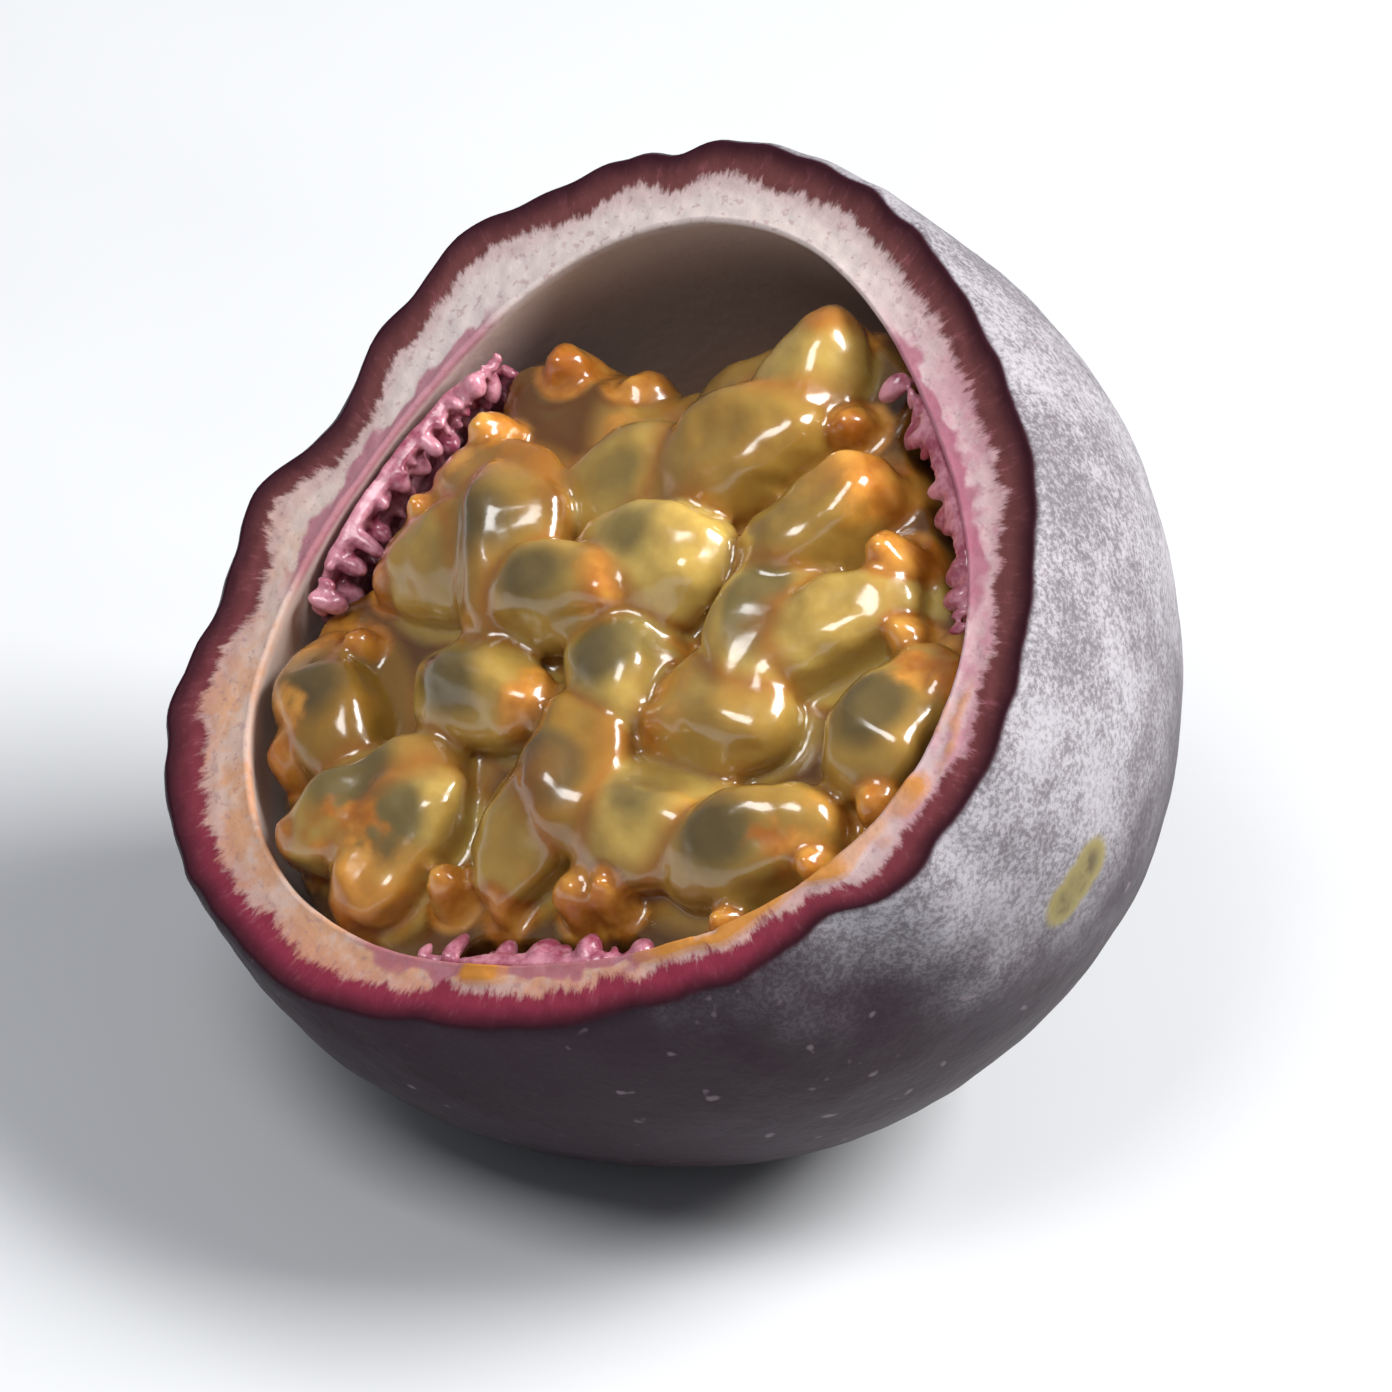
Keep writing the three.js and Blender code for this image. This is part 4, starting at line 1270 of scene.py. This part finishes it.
def pulp_material():
    make = Recipe("Juice sacs")
    kept = {key: make.kept(key).outputs["Fac"] for key in PULP_NUMBERS}
    soft = use(make, mottle, Blotch_Scale=260, Grain_Scale=900)
    color = make.mix(kept["tone"], JELLY_DARK, JELLY_PALE)
    color = make.mix(make.math("MULTIPLY", soft, 0.35), color, JELLY_BROWN)
    color = make.mix(make.mask(kept["seed"], 0.15, 0.6, 0.0, 0.72), color, SEED_SHADOW)
    uneven = make.math("MULTIPLY", make.math("SUBTRACT", soft, 0.5), 0.35)
    orange = make.mask(make.math("ADD", kept["orange"], uneven), 0.2, 0.85)
    color = make.mix(orange, color, make.mix(soft, ORANGE_DARK, ORANGE_PALE))
    # Brown juice colour and painted shade in the creases between the sacs.
    color = make.mix(make.math("MULTIPLY", kept["crease"], 0.7), color, CREASE_JUICE_AND_SHADE)
    # Painted shade: dark brown in the gaps between the sacs.
    color = make.mix(make.math("MULTIPLY", kept["gap"], 0.85), color, GAP_SHADE)
    # Painted shade: the pulp darkens deeper down in the hollow.
    color = make.mix(make.mask(kept["depth"], 3.5, 10.0, 0.0, 0.9), color, DEEP_SHADE)
    return make.surface(
        Base_Color=color, Roughness=0.25, Normal=use(make, wet, Scale=640, Strength=0.4),
        Subsurface_Weight=0.7, Subsurface_Radius=(1.0, 0.75, 0.3), Subsurface_Scale=2.0 * MM,
        Coat_Weight=1.0, Coat_Roughness=0.12)


dress(pulp, pulp_material())

# %% [markdown]
# The photograph looks from the front right, a little down on the fruit, from about 60 centimetres.
# The long lens keeps that viewpoint and fills the frame with the one half that was built.

# %% The camera
CAMERA_AZIMUTH = 50
CAMERA_ELEVATION = 33
CAMERA_DISTANCE = 0.598
CAMERA_LENS = 300
CAMERA_SENSOR = 36


def direction(azimuth, elevation):
    """The way from the fruit to a place, by degrees round from the front and degrees up."""
    turn, rise = azimuth * DEG, elevation * DEG
    return Vector((np.sin(turn) * np.cos(rise), -np.cos(turn) * np.cos(rise), np.sin(rise)))


camera_data = bpy.data.cameras.new("camera")
camera_data.lens = CAMERA_LENS
camera_data.sensor_width = CAMERA_SENSOR
camera = bpy.data.objects.new("camera", camera_data)
bpy.context.scene.collection.objects.link(camera)
cut_middle = Vector(to_world([0, 0, 0]))
camera.location = cut_middle + CAMERA_DISTANCE * direction(CAMERA_AZIMUTH, CAMERA_ELEVATION)
target = Vector([(a + b) / 2 for a, b in zip(cad_low, cad_high)])
camera.rotation_euler = (target - camera.location).to_track_quat("-Z", "Y").to_euler()
bpy.context.scene.camera = camera
print("camera at", [round(v, 3) for v in camera.location])

# %% [markdown]
# A plain pale floor and soft light. The light in the photograph comes from behind on the right, so
# a broad lamp there draws the white sheen along the skin, and a weaker one high in front gives the
# small wet highlights on the sacs.

# %% Floor and light
FLOOR_SIZE = 6
FLOOR_DARKER = linear(202, 204, 208)
FLOOR_PALER = linear(210, 212, 215)
SHEEN_LAMP = dict(azimuth=138, elevation=44, distance=0.6, size=0.3, power=6.5, color=(1, 0.99, 0.97))
FRONT_LAMP = dict(azimuth=15, elevation=60, distance=0.8, size=0.32, power=3.2, color=(1, 1, 1))
ROOM_COLOR = (0.9, 0.93, 1.0, 1)
ROOM_STRENGTH = 0.23


def area_light(name, azimuth, elevation, distance, size, power, color):
    """A square soft lamp on a direction from the fruit, turned towards it."""
    data = bpy.data.lights.new(name, "AREA")
    data.size = size
    data.energy = power
    data.color = color
    lamp = bpy.data.objects.new(name, data)
    way = direction(azimuth, elevation)
    lamp.location = target + distance * way
    lamp.rotation_euler = (-way).to_track_quat("-Z", "Y").to_euler()
    bpy.context.scene.collection.objects.link(lamp)


bpy.ops.mesh.primitive_plane_add(size=FLOOR_SIZE, location=(0, 0, 0))
floor = bpy.context.object
floor.name = "floor"
floor_look = Recipe("Pale floor")
cloudy = floor_look.noise(floor_look.place(), 30, 2.0)
floor_color = floor_look.mix(cloudy, FLOOR_DARKER, FLOOR_PALER)
dress(floor, floor_look.surface(Base_Color=floor_color, Roughness=0.6))

area_light("sheen", **SHEEN_LAMP)
area_light("front", **FRONT_LAMP)
world = bpy.data.worlds.new("soft room")
bpy.context.scene.world = world
world.use_nodes = True
backdrop = world.node_tree.nodes["Background"]
backdrop.inputs["Color"].default_value = ROOM_COLOR
backdrop.inputs["Strength"].default_value = ROOM_STRENGTH
bpy.context.scene.view_settings.view_transform = "Standard"
